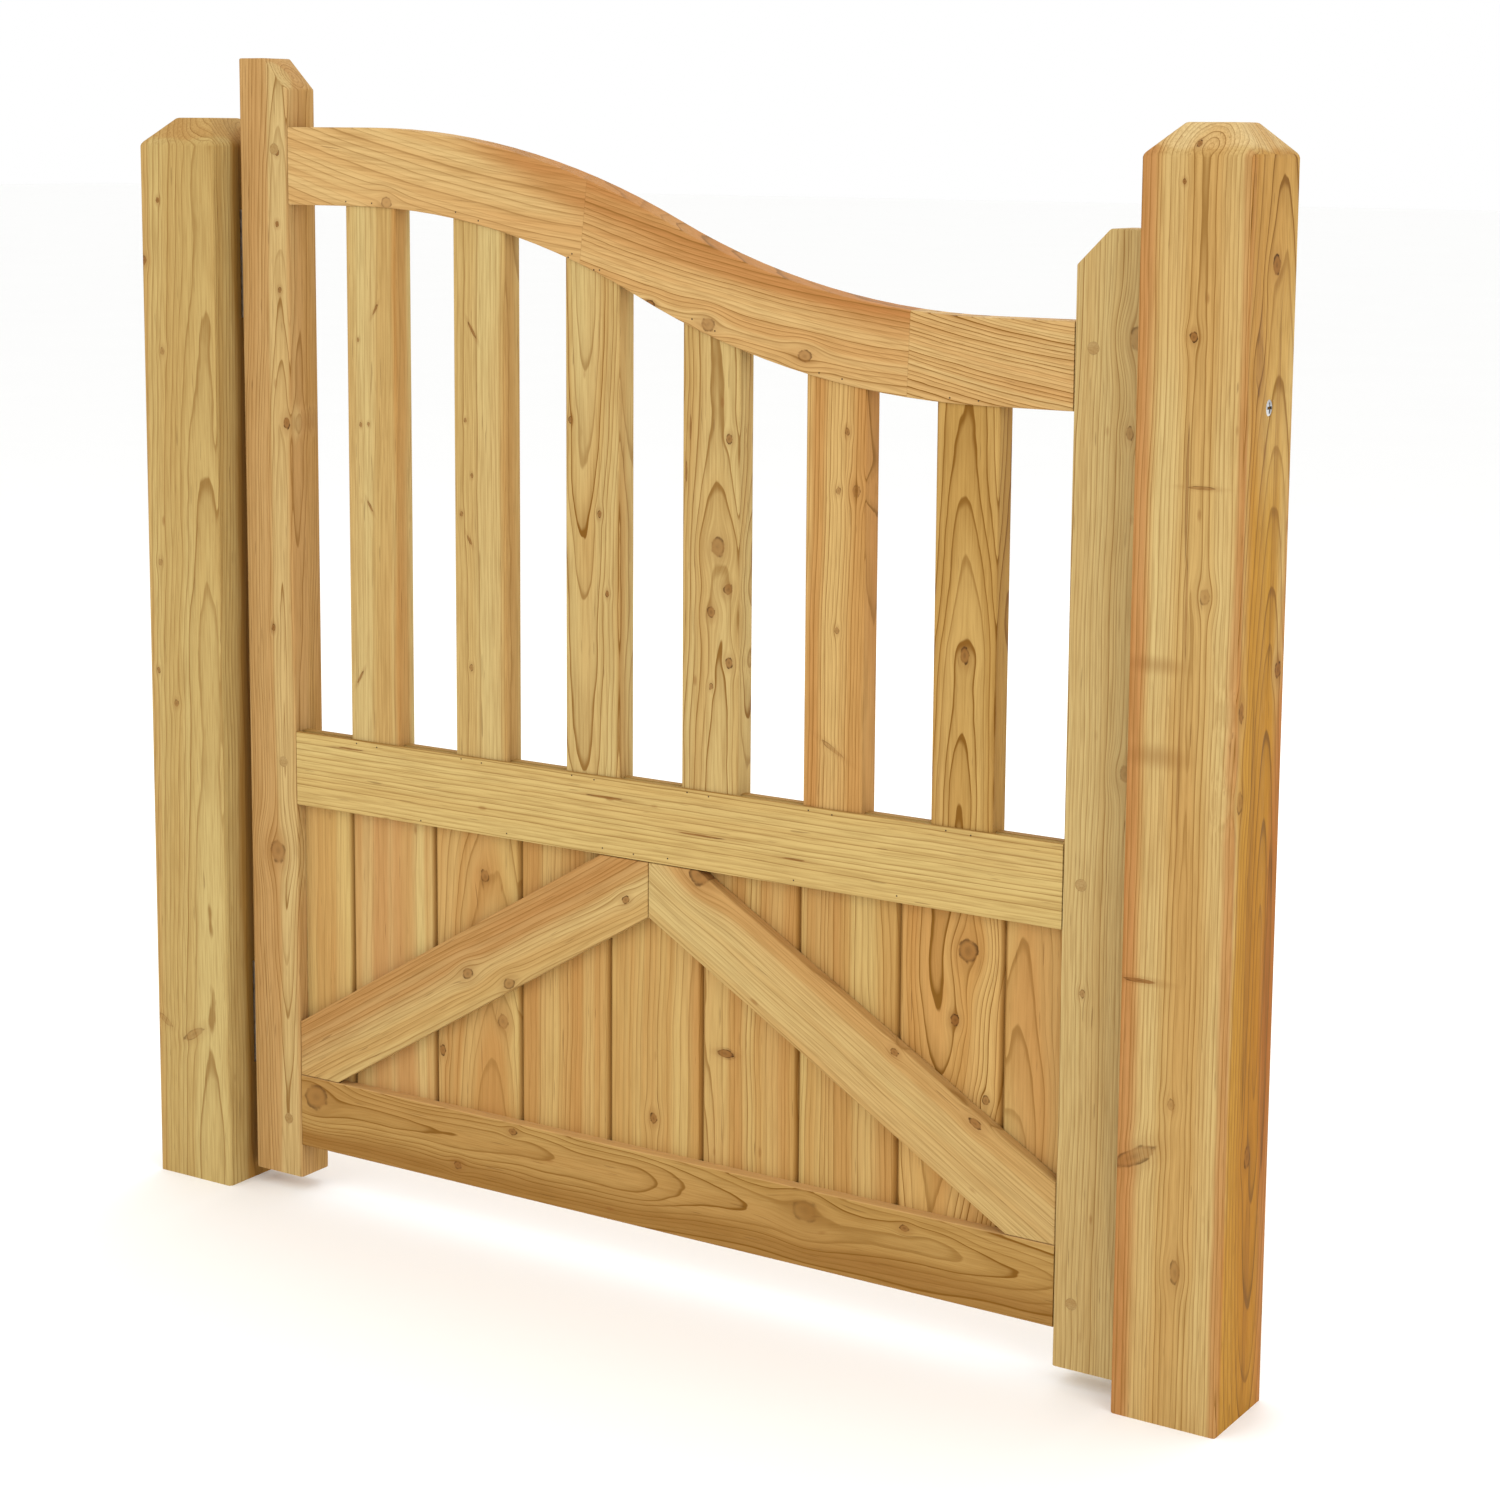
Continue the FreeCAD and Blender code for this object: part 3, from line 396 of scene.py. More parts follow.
# lengths glued end to end, or a side of the piece, each with its own grain direction
def addLengths(tree, place, log, look):
    seam, zoned, lateMix = None, None, look["lateMix"]
    for length in look.get("lengths", []):
        other = mapped(tree, place, logTurn(length["slope"]), inMm(length["middle"]), length["finer"])
        square = sloped(length["seamLean"])
        past = vec(tree, "DOT_PRODUCT", place, square)
        past = calc(tree, "SUBTRACT", past, square.dot(length["seam"]) * mm)
        beyond = calc(tree, "GREATER_THAN", past, 0.0)
        lateMix = calc(tree, "MULTIPLY_ADD", beyond, length["lateMore"], lateMix)
        choose = tree.nodes.new("ShaderNodeMix")
        choose.data_type = "VECTOR"
        put(tree, choose.inputs[0], beyond)
        put(tree, choose.inputs[4], log)
        put(tree, choose.inputs[5], other)
        log = choose.outputs[1]
        line = ramp(tree, calc(tree, "ABSOLUTE", past), *inMm(woodSkin["seam"]), length["line"], 0.0)
        seam = line if seam is None else calc(tree, "MAXIMUM", seam, line)
        if length["plain"]:
            zoned = calc(tree, "LESS_THAN", past, 0.0)  # no zones from here on
    return log, seam, zoned, lateMix


# board joints: stain and painted shade in the front V-grooves and a thin dark line at the back; a rail's top face:
# painted shade on the mid rail, painted light on the bottom rail
def addStainAndShade(tree, skin, colour, look):
    x, y, z = parted(tree, skin)
    if "stainAndShade" in look:
        front = ramp(tree, y, *inMm(woodSkin["groove"]), woodSkin["grooveMix"], 0.0)
        back = ramp(tree, y, *inMm(woodSkin["backLine"]), 0.0, woodSkin["backMix"])
        for edge in look["stainAndShade"]:
            away = calc(tree, "ABSOLUTE", calc(tree, "SUBTRACT", x, edge))
            wide = times(tree, ramp(tree, away, *inMm(woodSkin["grooveWide"]), 1.0, 0.0), front)
            thin = times(tree, ramp(tree, away, *inMm(woodSkin["backWide"]), 1.0, 0.0), back)
            colour = blend(tree, calc(tree, "MAXIMUM", wide, thin), colour, look["joint"])
    # the top face of a rail in the joint tone: painted shade on the mid rail, painted light on the bottom rail
    if "weathered" in look:
        crown = inMm(look["weathered"] - under for under in woodSkin["crown"])
        colour = blend(tree, ramp(tree, z, *crown, 0.0, woodSkin["crownMix"]), colour, look["joint"])
    return colour


def addBump(tree, bsdf, height, look):
    bump = tree.nodes.new("ShaderNodeBump")
    bump.inputs["Strength"].default_value = look["bump"]
    bump.inputs["Distance"].default_value = look["bumpDepth"] * mm
    put(tree, bump.inputs["Height"], height)
    put(tree, bsdf.inputs["Normal"], bump.outputs[0])


def timberMaterial(name, look, centre):
    material, tree, bsdf, skin = newMaterial(name)
    place, tint, dark = addKnots(tree, skin, look)
    log = mapped(tree, place, look.get("turn", logTurn(look["slope"])), centre)
    zoneLog = mapped(tree, place, logTurn(look["zoneSlope"]), centre) if "zoneSlope" in look else log
    log, seam, zoned, lateMix = addLengths(tree, place, log, look)
    (pithX, pithY), (leanX, leanY) = inMm(look["pith"]), look["lean"]
    rings = useGroup(
        tree, ringGroup, Place=log, PithX=pithX, PithY=pithY, LeanX=leanX, LeanY=leanY, Bow=look["bow"],
        Ring=look["ring"] * mm, Waver=look["waver"] * mm, Wobble=look["wobble"], Seed=look["seed"])
    fibre = useGroup(tree, fibreGroup, Place=log, Seed=look["seed"] + woodSkin["fibreSeed"])
    colour = look["straw"]
    for across, deep, radius, soft, amount, *more in look.get("heart", []):
        tone, along, squeeze = more + ["rust", 0.0, 0.0][len(more):]
        mask = useGroup(tree, zoneGroup, Place=zoneLog, Middle=inMm((across, deep, along)),
                        Squeeze=(1.0, 1.0, squeeze), Radius=radius * mm, Soft=soft * mm,
                        Seed=look["seed"] + woodSkin["zoneSeed"])["Mask"]
        if zoned is not None:
            mask = times(tree, mask, zoned)
        colour = blend(tree, times(tree, mask, amount), colour, look[tone])
    toned = ramp(tree, rings["Band"], *woodSkin["band"], 0.0, look["bandMix"])
    colour = blend(tree, toned, colour, ratio(look["honey"], look["straw"]), "MULTIPLY")
    drift = ramp(tree, fibre["Drift"], *woodSkin["drift"], 0.0, look["driftMix"])
    colour = blend(tree, drift, colour, ratio(look["blush"], look["straw"]), "MULTIPLY")
    colour = blend(tree, times(tree, rings["Late"], lateMix), colour, look["late"])
    lines = ramp(tree, fibre["Fibre"], *woodSkin["fibre"], 0.0, look["fibreMix"])
    colour = blend(tree, lines, colour, look["late"])
    colour = blend(tree, times(tree, fibre["Fleck"], woodSkin["fleckMix"]), colour, look["fleck"])
    colour = blend(tree, times(tree, fibre["Pin"], look["pinMix"]), colour, look["knot"])
    colour = addStainAndShade(tree, skin, colour, look)
    if look.get("knots"):
        colour = blend(tree, tint, colour, look["knot"])
        colour = blend(tree, dark, colour, look["rim"])
    if seam is not None:
        colour = blend(tree, seam, colour, look["fleck"])
    put(tree, bsdf.inputs["Base Color"], colour)
    rough = calc(tree, "MULTIPLY_ADD", rings["Late"], woodSkin["lateRough"], woodSkin["rough"])
    rough = calc(tree, "MULTIPLY_ADD", fibre["Fibre"], woodSkin["fibreRough"], rough)
    put(tree, bsdf.inputs["Roughness"], rough)
    bsdf.inputs["Specular IOR Level"].default_value = woodSkin["specular"]
    height = times(tree, fibre["Fibre"], woodSkin["fibreHeight"])
    addBump(tree, bsdf, calc(tree, "MULTIPLY_ADD", rings["Late"], woodSkin["lateHeight"], height), woodSkin)
    return material


# a merged copy of a CAD node with its sawn arrises eased
easing = {"weld": 0.01, "shortest": 4.0, "onFace": 0.1, "flat": 0.4, "corner": 28.0, "smooth": 24.0,
          "along": 0.5, "segments": 2}


def weldedCopy(node):
    bm = bmesh.new()
    bm.from_mesh(frame["nodes"][node].data)
    bmesh.ops.remove_doubles(bm, verts=bm.verts, dist=easing["weld"] * mm)
    return bm


def easedCopy(node, ease, along, topEdges=None):
    mesh = bpy.data.meshes.new(node + "_eased")
    bm = weldedCopy(node)
    bmesh.ops.dissolve_limit(bm, angle_limit=math.radians(easing["flat"]), verts=bm.verts, edges=bm.edges)
    low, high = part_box(node)
    picked = []
    for edge in bm.edges:
        if len(edge.link_faces) != 2 or not edge.is_convex or edge.calc_length() < easing["shortest"] * mm:
            continue
        if edge.calc_face_angle() < math.radians(easing["corner"]):
            continue
        middle = (edge.verts[0].co + edge.verts[1].co) / 2
        run = (edge.verts[1].co - edge.verts[0].co).normalized()
        onFace = min(abs(middle.y - low.y), abs(middle.y - high.y)) < easing["onFace"] * mm
        onTop = topEdges is not None and middle.z > topEdges * mm
        if onTop or (onFace and abs(run.dot(along)) > easing["along"]):
            picked.append(edge)
    bmesh.ops.bevel(bm, geom=picked, offset=ease * mm, offset_type="OFFSET", segments=easing["segments"],
                    profile=0.5, affect="EDGES", clamp_overlap=True)
    bm.normal_update()
    bm.to_mesh(mesh)
    bm.free()
    for polygon in mesh.polygons:
        polygon.use_smooth = True
    mesh.set_sharp_from_angle(angle=math.radians(easing["smooth"]))
    return newObject(node + "_piece", mesh)


def standFor(piece, node):
    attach(piece, nodeBody[node])
    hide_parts(node)


timberGain = (0.745, 0.787, 0.835)
# joint is the tone of the stain and painted shade in the board joints and of the painted shade on the mid rail's
# top face
timberTones = {
    "straw": shade(224, 191, 124), "honey": shade(211, 165, 96), "blush": shade(212, 158, 93),
    "pink": shade(208, 150, 94), "rust": shade(205, 141, 74), "amber": shade(206, 150, 82),
    "gold": shade(210, 160, 82), "bare": shade(243, 213, 152), "late": shade(140, 92, 30),
    "fleck": shade(108, 70, 32), "joint": shade(156, 104, 36), "knot": shade(150, 96, 44),
    "rim": shade(56, 33, 16)}
timberFigure = {
    "bandMix": 0.7, "driftMix": 0.4, "lateMix": 0.78, "fibreMix": 0.32, "pinMix": 0.5, "ring": 4.4,
    "waver": 12.0, "wobble": 1.1, "ease": 1.4, "lean": (0.0, 0.0), "bow": 0.0, "knotSize": 1.15, "reach": 40.0}


# knots: x, y, z, radius, stretch, strength, pull on the grain, kind
# heart: across, deep, radius, softness, amount, tone, along, squeeze; mostly heartwood, a few are painted shade
# and painted light
def makeTimber(node, look):
    low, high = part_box(node)
    look = {**timberTones, **timberFigure, **look}
    for tone in timberTones:
        look[tone] = tuple(v * g for v, g in zip(look[tone], timberGain)) + (1.0,)
    piece = easedCopy(node, look["ease"], sloped(look["slope"]), look.get("topEdges"))
    piece.data.materials.clear()
    piece.data.materials.append(timberMaterial(node + "_wood", look, (low + high) / 2))
    standFor(piece, node)


# the two posts
hingePost = {
    "slope": 90.0, "pith": (30.0, 4.0), "lean": (0.012, 0.02), "ring": 4.2, "waver": 14.0, "seed": 1.7,
    "ease": 2.2, "topEdges": 990.0, "straw": shade(217, 186, 118), "honey": shade(203, 165, 97),
    "blush": shade(202, 158, 90), "rust": shade(176, 126, 54), "amber": shade(206, 156, 90), "lateMix": 0.72,
    "reach": 30.0,
    # the first zone and the darkened rust tone colour the inner side: part heartwood, part painted shadow of the
    # hanging stile
    "heart": [(72, 10, 40, 4, 0.9), (-80, -40, 44, 4, 0.5, "amber"), (0, 0, 200, 3, 0.55, "amber", 684, 1.0)],
    "knots": [(-535, -45, 940, 2.0, 1.3, 1.0, 0.8), (-554, -45, 884, 3.0, 1.3, 1.0, 0.8),
              (-533, -45, 800, 2.4, 1.5, 0.6, 0.8), (-541, -45, 600, 2.4, 1.4, 0.6, 0.8),
              (-546, -45, 496, 2.0, 1.4, 0.8, 0.8), (-524, -45, 466, 2.6, 1.3, 0.7, 0.85),
              (-510, -45, 144, 4.0, 3.4, 0.5, 0.8, "across rising"),
              (-547, -45, 152, 3.0, 3.4, 0.4, 0.8, "across falling")]}
latchPost = {
    "slope": 90.0, "pith": (6.0, -41.0), "lean": (0.004, 0.004), "ring": 3.7, "waver": 9.0, "wobble": 0.9,
    "seed": 4.3, "ease": 2.2, "topEdges": 990.0, "straw": shade(221, 183, 114), "honey": shade(207, 158, 86),
    "blush": shade(208, 156, 86), "gold": shade(207, 150, 57), "pink": shade(210, 150, 92),
    "amber": shade(198, 122, 66), "rust": shade(225, 191, 125), "lateMix": 0.85, "driftMix": 0.55, "reach": 22.0,
    # the outer side has a figure of its own
    "lengths": [{"slope": 85.0, "middle": (546.8, 79, 330), "seam": (555.6, 0, 0), "seamLean": 0.0,
                 "finer": 0.62, "lateMore": 0.3, "line": 0.0, "plain": False}],
    "heart": [(3, -40, 46, 4, 0.8), (165, 0, 126, 3, 0.95, "gold"), (-84, -45, 53, 6, 0.8, "pink"),
              (46, -46, 7, 3, 0.5, "amber"), (62, 66, 44, 8, 0.8, "amber", -180, 0.08),
              (50, 5, 52, 14, 0.45, "rust", 430, 0.25),
              (-22, -45, 20, 17, 0.4, "knot", 98, 3.4), (-20, -45, 22, 18, 0.4, "knot", 27, 2.8),
              # the last zone is painted light on the top cap
              (0, 0, 200, 3, 0.75, "bare", 684, 1.0)],
    "knots": [(510, -45, 1000, 2.0, 1.2, 1.0, 0.6), (502, -45, 972, 1.6, 1.2, 1.0, 0.6),
              (513, -45, 857, 3.1, 1.2, 1.0, 0.8), (511, -45, 740, 1.0, 44.0, 0.7, 0.3),
              (513, -45, 650, 0.9, 40.0, 0.6, 0.3), (510, -45, 520, 0.8, 50.0, 0.5, 0.3),
              (523, -45, 744, 1.2, 9.0, 0.7, 0.0, "across"), (528, -45, 662, 4.0, 1.6, 0.5, 0.8),
              (483, -45, 357, 1.8, 7.5, 1.0, 0.0, "across"),
              (482, -45, 215, 6.0, 3.2, 0.6, 0.5, "across rising"),
              (512, -45, 262, 3.0, 1.6, 0.5, 0.8), (519, -45, 128, 4.0, 2.4, 0.6, 0.8),
              (556.5, 5, 910, 6.8, 1.1, 1.0, 0.85, "side"), (556.5, -22, 838, 6, 3.5, 0.45, 0.9, "side"),
              (556.5, 32, 598, 5.6, 1.1, 1.0, 0.85, "side"), (556.5, -36, 575, 4.0, 2.0, 0.9, 0.85, "side"),
              (556.5, -34, 505, 5.0, 1.6, 0.55, 0.85, "side"), (556.5, 2, 215, 5, 1.8, 0.8, 0.95, "side"),
              (556.5, 16, 740, 4.0, 32.0, 0.4, 0.4, "side"), (556.5, -10, 430, 4.5, 34.0, 0.4, 0.4, "side"),
              (556.5, 30, 330, 5.0, 24.0, 0.5, 0.5, "side"), (556.5, 8, 110, 4.0, 22.0, 0.4, 0.4, "side")]}
makeTimber("hinge_post", hingePost)
makeTimber("latch_post", latchPost)
print("posts done")

# stiles of the leaf
hangingStile = {
    "slope": 90.0, "pith": (15.0, -15.0), "lean": (0.004, 0.035), "ring": 3.4, "waver": 20.0, "seed": 9.2,
    "topEdges": 1030.0, "straw": shade(213, 168, 106), "honey": shade(203, 154, 92),
    "blush": shade(205, 152, 90), "rust": shade(224, 190, 126), "amber": shade(204, 156, 86),
    "lateMix": 0.8, "bandMix": 0.6,
    "heart": [(15, -14, 12, 2.5, 0.95), (44, 8, 17, 4, 0.7, "amber")],
    "knots": [(-404, -19, 738, 3.6, 1.5, 1.0, 0.85), (-423, -19, 331, 8.6, 1.2, 0.6, 0.9),
              (-412, -19, 920, 2.0, 1.3, 1.0, 0.8), (-410, -19, 860, 1.8, 1.4, 0.9, 0.8),
              (-411, -19, 985, 2.2, 1.3, 1.0, 0.8), (-424, -19, 545, 2.2, 1.4, 0.9, 0.8)]}
shuttingStile = {
    "slope": 90.0, "pith": (-58.0, 8.0), "lean": (0.004, -0.006), "ring": 2.9, "seed": 6.6, "topEdges": 900.0,
    "straw": shade(223, 191, 126), "honey": shade(211, 173, 108), "blush": shade(209, 167, 102),
    "lateMix": 0.82,
    "knots": [(456, -19, 852, 7, 1.3, 0.55, 0.95), (450, -19, 779, 3.0, 1.8, 0.6, 0.9),
              (454, -19, 512, 5, 1.4, 0.5, 0.95), (421, -19, 330, 2.2, 1.5, 0.7, 0.8)]}
makeTimber("hanging_stile", hangingStile)
makeTimber("shutting_stile", shuttingStile)

# straight rails
midRail = {
    "slope": 0.0, "pith": (-150.0, 6.0), "lean": (0.006, 0.0), "ring": 5.4, "waver": 7.0, "wobble": 0.6,
    "seed": 2.4, "straw": shade(227, 193, 121), "honey": shade(217, 177, 105), "blush": shade(216, 170, 100),
    # the top face gets the dark joint tone as painted shade
    "lateMix": 0.68, "bandMix": 0.45, "driftMix": 0.3, "weathered": 449.0,
    "knots": [(-333, -19, 440, 0.7, 20.0, 1.0, 0.0), (-44, -19, 431, 0.8, 22.0, 1.0, 0.0),
              (55, -19, 410, 0.8, 28.0, 1.0, 0.0), (150, -19, 402, 0.7, 16.0, 1.0, 0.0)]}
bottomRail = {
    "slope": 0.0, "pith": (-8.0, 12.0), "lean": (0.02, 0.036), "ring": 3.5, "waver": 34.0, "seed": 7.9,
    "straw": shade(208, 165, 96), "honey": shade(189, 142, 74), "blush": shade(190, 135, 72), "lateMix": 1.2,
    "rust": shade(171, 122, 60), "heart": [(70, 0, 62, 10, 0.72)],
    # the pale joint tone lightens the top face: painted light
    "weathered": 116.0, "joint": shade(236, 184, 118),
    "knots": [(-380, -19, 98, 11.0, 1.2, 0.6, 0.95), (-210, -19, 64, 3.2, 1.4, 0.9, 0.9),
              (-147, -19, 108, 3.0, 1.6, 0.9, 0.9), (165, -19, 97, 9, 1.4, 0.36, 0.95),
              (262, -19, 102, 2.8, 1.6, 0.9, 0.9)]}
makeTimber("mid_rail", midRail)
makeTimber("bottom_rail", bottomRail)

# curved rail, three lengths glued end to end
curvedRail = {
    "slope": -6.0, "pith": (124.0, 14.0), "lean": (0.0, 0.01), "bow": -0.25, "ring": 5.8,
    "wobble": 0.9, "seed": 3.6, "ease": 1.6, "straw": shade(231, 190, 124), "honey": shade(221, 170, 104),
    "blush": shade(220, 160, 95), "lateMix": 0.62, "rust": shade(198, 128, 64), "zoneSlope": -19.0,
    "heart": [(-152, -6, 144, 14, 0.7, "rust", 0, 0.33)],
    "lengths": [{"slope": -11.0, "middle": (90, 0, 880), "seam": (-68, 0, 921), "seamLean": -6.0,
                 "finer": 1.4, "lateMore": 0.3, "line": 0.14, "plain": False},
                {"slope": -10.0, "middle": (330, 0, 838), "seam": (254, 0, 838), "seamLean": -2.0,
                 "finer": 1.9, "lateMore": 0.42, "line": 0.14, "plain": True}],
    "knots": [(-283, -19, 942, 4.6, 1.2, 0.5, 0.9), (2, -19, 862, 3.0, 1.5, 1.0, 0.8),
              (61, -19, 847, 5.4, 1.2, 0.6, 0.9), (156, -19, 825, 4.8, 1.3, 0.65, 0.9)]}
makeTimber("curved_top_rail", curvedRail)
print("frame of the leaf done")

# pales, each from its own stick
paleLook = {
    "slope": 90.0, "straw": shade(221, 190, 124), "honey": shade(209, 168, 100), "blush": shade(208, 160, 94),
    "rust": shade(208, 154, 86)}
pales = {
    "pale_1": {"pith": (52.0, 24.0), "lean": (0.01, 0.005), "seed": 11.3, "lateMix": 0.4,
               "heart": [(42, -6, 18, 3, 0.75)],
               "knots": [(-308, -16, 667, 1.1, 5.0, 0.9, 0.6, "falling"),
                         (-322, -16, 508, 1.1, 6.0, 0.9, 0.5, "rising"),
                         (-300, -16, 846, 1.1, 5.0, 0.9, 0.6, "rising"), (-320, -16, 818, 1.3, 1.4, 0.8, 0.5),
                         (-318, -16, 741, 1.6, 1.4, 0.8, 0.5), (-309, -16, 742, 1.4, 1.4, 0.8, 0.5)]},
    "pale_2": {"pith": (-44.0, 12.0), "lean": (0.01, 0.01), "seed": 13.9, "lateMix": 0.6,
               "heart": [(42, -6, 17, 3, 0.4)],
               "knots": [(-190, -16, 832, 1.2, 6.5, 0.95, 0.6, "falling"),
                         (-198, -16, 752, 1.5, 1.4, 0.8, 0.5),
                         (-191, -16, 703, 1.4, 1.4, 0.8, 0.5), (-203, -16, 668, 1.6, 1.4, 0.8, 0.5),
                         (-194, -16, 645, 1.2, 4.0, 0.85, 0.6, "falling"),
                         (-193, -16, 530, 1.9, 1.5, 0.7, 0.6)]},
    "pale_3": {"pith": (-8.0, 12.0), "lean": (0.0, -0.045), "ring": 3.8, "waver": 22.0, "seed": 17.1,
               "lateMix": 1.3, "heart": [(40, -6, 14, 3, 0.4)],
               "knots": [(-83, -16, 759, 1.8, 1.6, 0.9, 0.8), (-52, -16, 679, 2.0, 1.5, 0.9, 0.8),
                         (-44, -16, 610, 1.8, 1.5, 1.0, 0.8), (-90, -16, 548, 1.8, 1.5, 1.0, 0.8)]},
    "pale_4": {"pith": (8.0, 12.0), "lean": (0.0, 0.05), "ring": 3.9, "waver": 26.0, "seed": 19.4,
               "lateMix": 0.95,
               "knots": [(70, -16, 660, 6.8, 1.2, 0.75, 0.95), (80, -16, 625, 4.0, 1.2, 0.8, 0.9),
                         (64, -16, 604, 3.8, 1.2, 0.8, 0.9), (81, -16, 752, 3.0, 1.3, 0.9, 0.9),
                         (42, -16, 760, 0.7, 14.0, 0.9, 0.0), (38, -16, 722, 0.7, 12.0, 0.9, 0.0),
                         (82, -16, 562, 3.4, 1.3, 0.9, 0.9), (64, -16, 540, 2.0, 1.4, 0.8, 0.8)]},
    "pale_5": {"pith": (-60.0, 10.0), "lean": (0.01, 0.0), "ring": 3.3, "bandMix": 0.8, "seed": 23.7,
               "straw": shade(227, 183, 113), "honey": shade(208, 150, 82), "blush": shade(208, 144, 80),
               "lateMix": 1.3,
               "knots": [(196, -16, 765, 2.0, 1.6, 0.9, 0.8), (188, -16, 600, 2.0, 1.4, 0.7, 0.9),
                         (188, -16, 716, 2.2, 1.4, 0.7, 0.8), (205, -16, 717, 3.6, 1.3, 0.6, 0.9),
                         (185, -16, 500, 1.8, 6.5, 0.5, 0.5, "across falling")]},
    "pale_6": {"pith": (-2.0, 14.0), "lean": (0.0, 0.06), "ring": 4.3, "waver": 28.0, "seed": 29.2,
               "lateMix": 1.15, "straw": shade(212, 168, 96), "honey": shade(194, 146, 74),
               "knots": [(308, -16, 591, 4.0, 1.6, 0.9, 0.9)]}}
for node, look in pales.items():
    makeTimber(node, {**paleLook, **look})
print("pales done")

# matchboards of the lower panel
boardLook = {
    "slope": 90.0, "ease": 0.6, "ring": 5.0, "straw": shade(222, 184, 113), "honey": shade(207, 156, 86),
    "bandMix": 0.8, "fibreMix": 0.22, "driftMix": 0.6, "lateMix": 0.85}
boards = {
    "board_1": {"pith": (60.0, 20.0), "seed": 31.5, "lateMix": 0.3, "bandMix": 0.6, "ring": 7.0},
    "board_2": {"pith": (-90.0, 30.0), "seed": 33.8, "straw": shade(226, 194, 124),
                "honey": shade(213, 168, 100), "blush": shade(215, 163, 102), "lateMix": 0.3,
                "driftMix": 0.8, "ring": 7.0},
    "board_3": {"pith": (14.0, 26.0), "lean": (0.0, 0.1), "waver": 22.0, "ring": 5.5, "seed": 37.7,
                "knots": [(-186, -7, 338, 4.4, 1.3, 0.7, 0.9), (-166, -7, 205, 5.5, 1.3, 0.6, 0.9),
                          (-236, -7, 166, 3.0, 1.6, 0.9, 0.8)]},
    "board_4": {"pith": (-70.0, 12.0), "seed": 41.1, "lateMix": 0.65, "ring": 4.8, "waver": 20.0},
    "board_5": {"pith": (48.0, 24.0), "lean": (0.0, 0.02), "seed": 43.6, "lateMix": 0.65, "ring": 4.6,
                "knots": [(0, -7, 145, 3.4, 1.4, 0.9, 0.9)]},
    "board_6": {"pith": (-52.0, 22.0), "lean": (0.02, 0.02), "waver": 22.0, "seed": 47.3, "ring": 4.8,
                "knots": [(75, -7, 217, 5.0, 1.8, 0.3, 0.7, "across"),
                          (75, -7, 217, 1.3, 6.0, 1.0, 0.0, "across")]},
    "board_7": {"pith": (70.0, 14.0), "waver": 24.0, "seed": 49.9, "lateMix": 0.75},
    "board_8": {"pith": (-16.0, 24.0), "lean": (0.03, -0.05), "waver": 30.0, "ring": 3.9, "seed": 53.2,
                "straw": shade(228, 184, 112), "honey": shade(211, 157, 84), "blush": shade(213, 152, 84),
                "lateMix": 1.25,
                "knots": [(311, -7, 345, 8.4, 1.1, 0.75, 0.95), (300, -7, 285, 3.8, 1.2, 1.0, 0.95),
                          (330, -7, 222, 3.0, 1.3, 0.8, 0.9)]},
    "board_9": {"pith": (-22.0, 22.0), "lean": (0.06, 0.06), "waver": 34.0, "ring": 5.2, "seed": 59.8,
                "honey": shade(212, 160, 90), "lateMix": 0.65}}
boardTongue = 6.0 * mm
for node, look in boards.items():
    low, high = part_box(node)
    # the panel's outer edges have no joint; the other edges get stain and painted shade in their V-grooves
    stainAndShade = ([] if node == "board_1" else [low.x]) + ([] if node == "board_9" else [high.x - boardTongue])
    makeTimber(node, {**boardLook, "stainAndShade": stainAndShade, **look})
print("boards done")

# braces, grain along their own slope
braceSlope = 31.0
hangingBrace = {
    "slope": braceSlope, "pith": (44.0, 12.0), "lean": (0.02, 0.0), "ring": 4.2, "waver": 16.0, "seed": 61.4,
    "lateMix": 0.75, "rust": shade(203, 150, 90), "heart": [(-70, 0, 68, 13, 0.6)],
    "knots": [(-197, -19, 248, 4.4, 1.3, 0.75, 0.9), (-150, -19, 246, 4.4, 1.4, 0.65, 0.9),
              (-22, -19, 342, 3.0, 1.4, 0.9, 0.9)]}
shuttingBrace = {
    "slope": -braceSlope, "pith": (70.0, 14.0), "lean": (0.02, 0.0), "ring": 4.2, "waver": 9.0, "seed": 67.9,
    "lateMix": 0.6, "bandMix": 0.5, "rust": shade(210, 150, 84), "heart": [(-88, 0, 66, 8, 0.25)],
    "knots": [(55, -19, 376, 9, 1.1, 0.7, 0.95), (250, -19, 252, 2.8, 1.4, 0.9, 0.9),
              (327, -19, 205, 3.4, 1.8, 0.9, 0.9)]}
makeTimber("hanging_brace", hangingBrace)
makeTimber("shutting_brace", shuttingBrace)

# pegs show their end grain
pegs = {
    "slope": 90.0, "turn": (math.radians(90.0), 0.0, 0.0), "pith": (1.5, 0.0), "ring": 1.3, "waver": 2.0,
    "ease": 0.3, "straw": shade(198, 162, 104), "honey": shade(188, 148, 90), "blush": shade(186, 146, 90),
    "lateMix": 0.5, "driftMix": 0.2}
makeTimber("hanging_stile_pegs", {**pegs, "seed": 71.0})
makeTimber("shutting_stile_pegs", {**pegs, "seed": 73.0})
print("braces and pegs done")


# metal finishes
def metalMaterial(name, look):
    material, tree, bsdf, place = newMaterial(name)
    skin = useGroup(tree, metalGroup, Place=place, Cloud=look["cloud"], Rub=look["rub"])
    tone = ramp(tree, skin["Tone"], *metalShape["toneFrom"])
    put(tree, bsdf.inputs["Base Color"], blend(tree, tone, look["dull"], look["bright"]))
    put(tree, bsdf.inputs["Roughness"], skin["Rough"])
    bsdf.inputs["Metallic"].default_value = 1.0
    addBump(tree, bsdf, skin["Height"], metalShape)
    return material


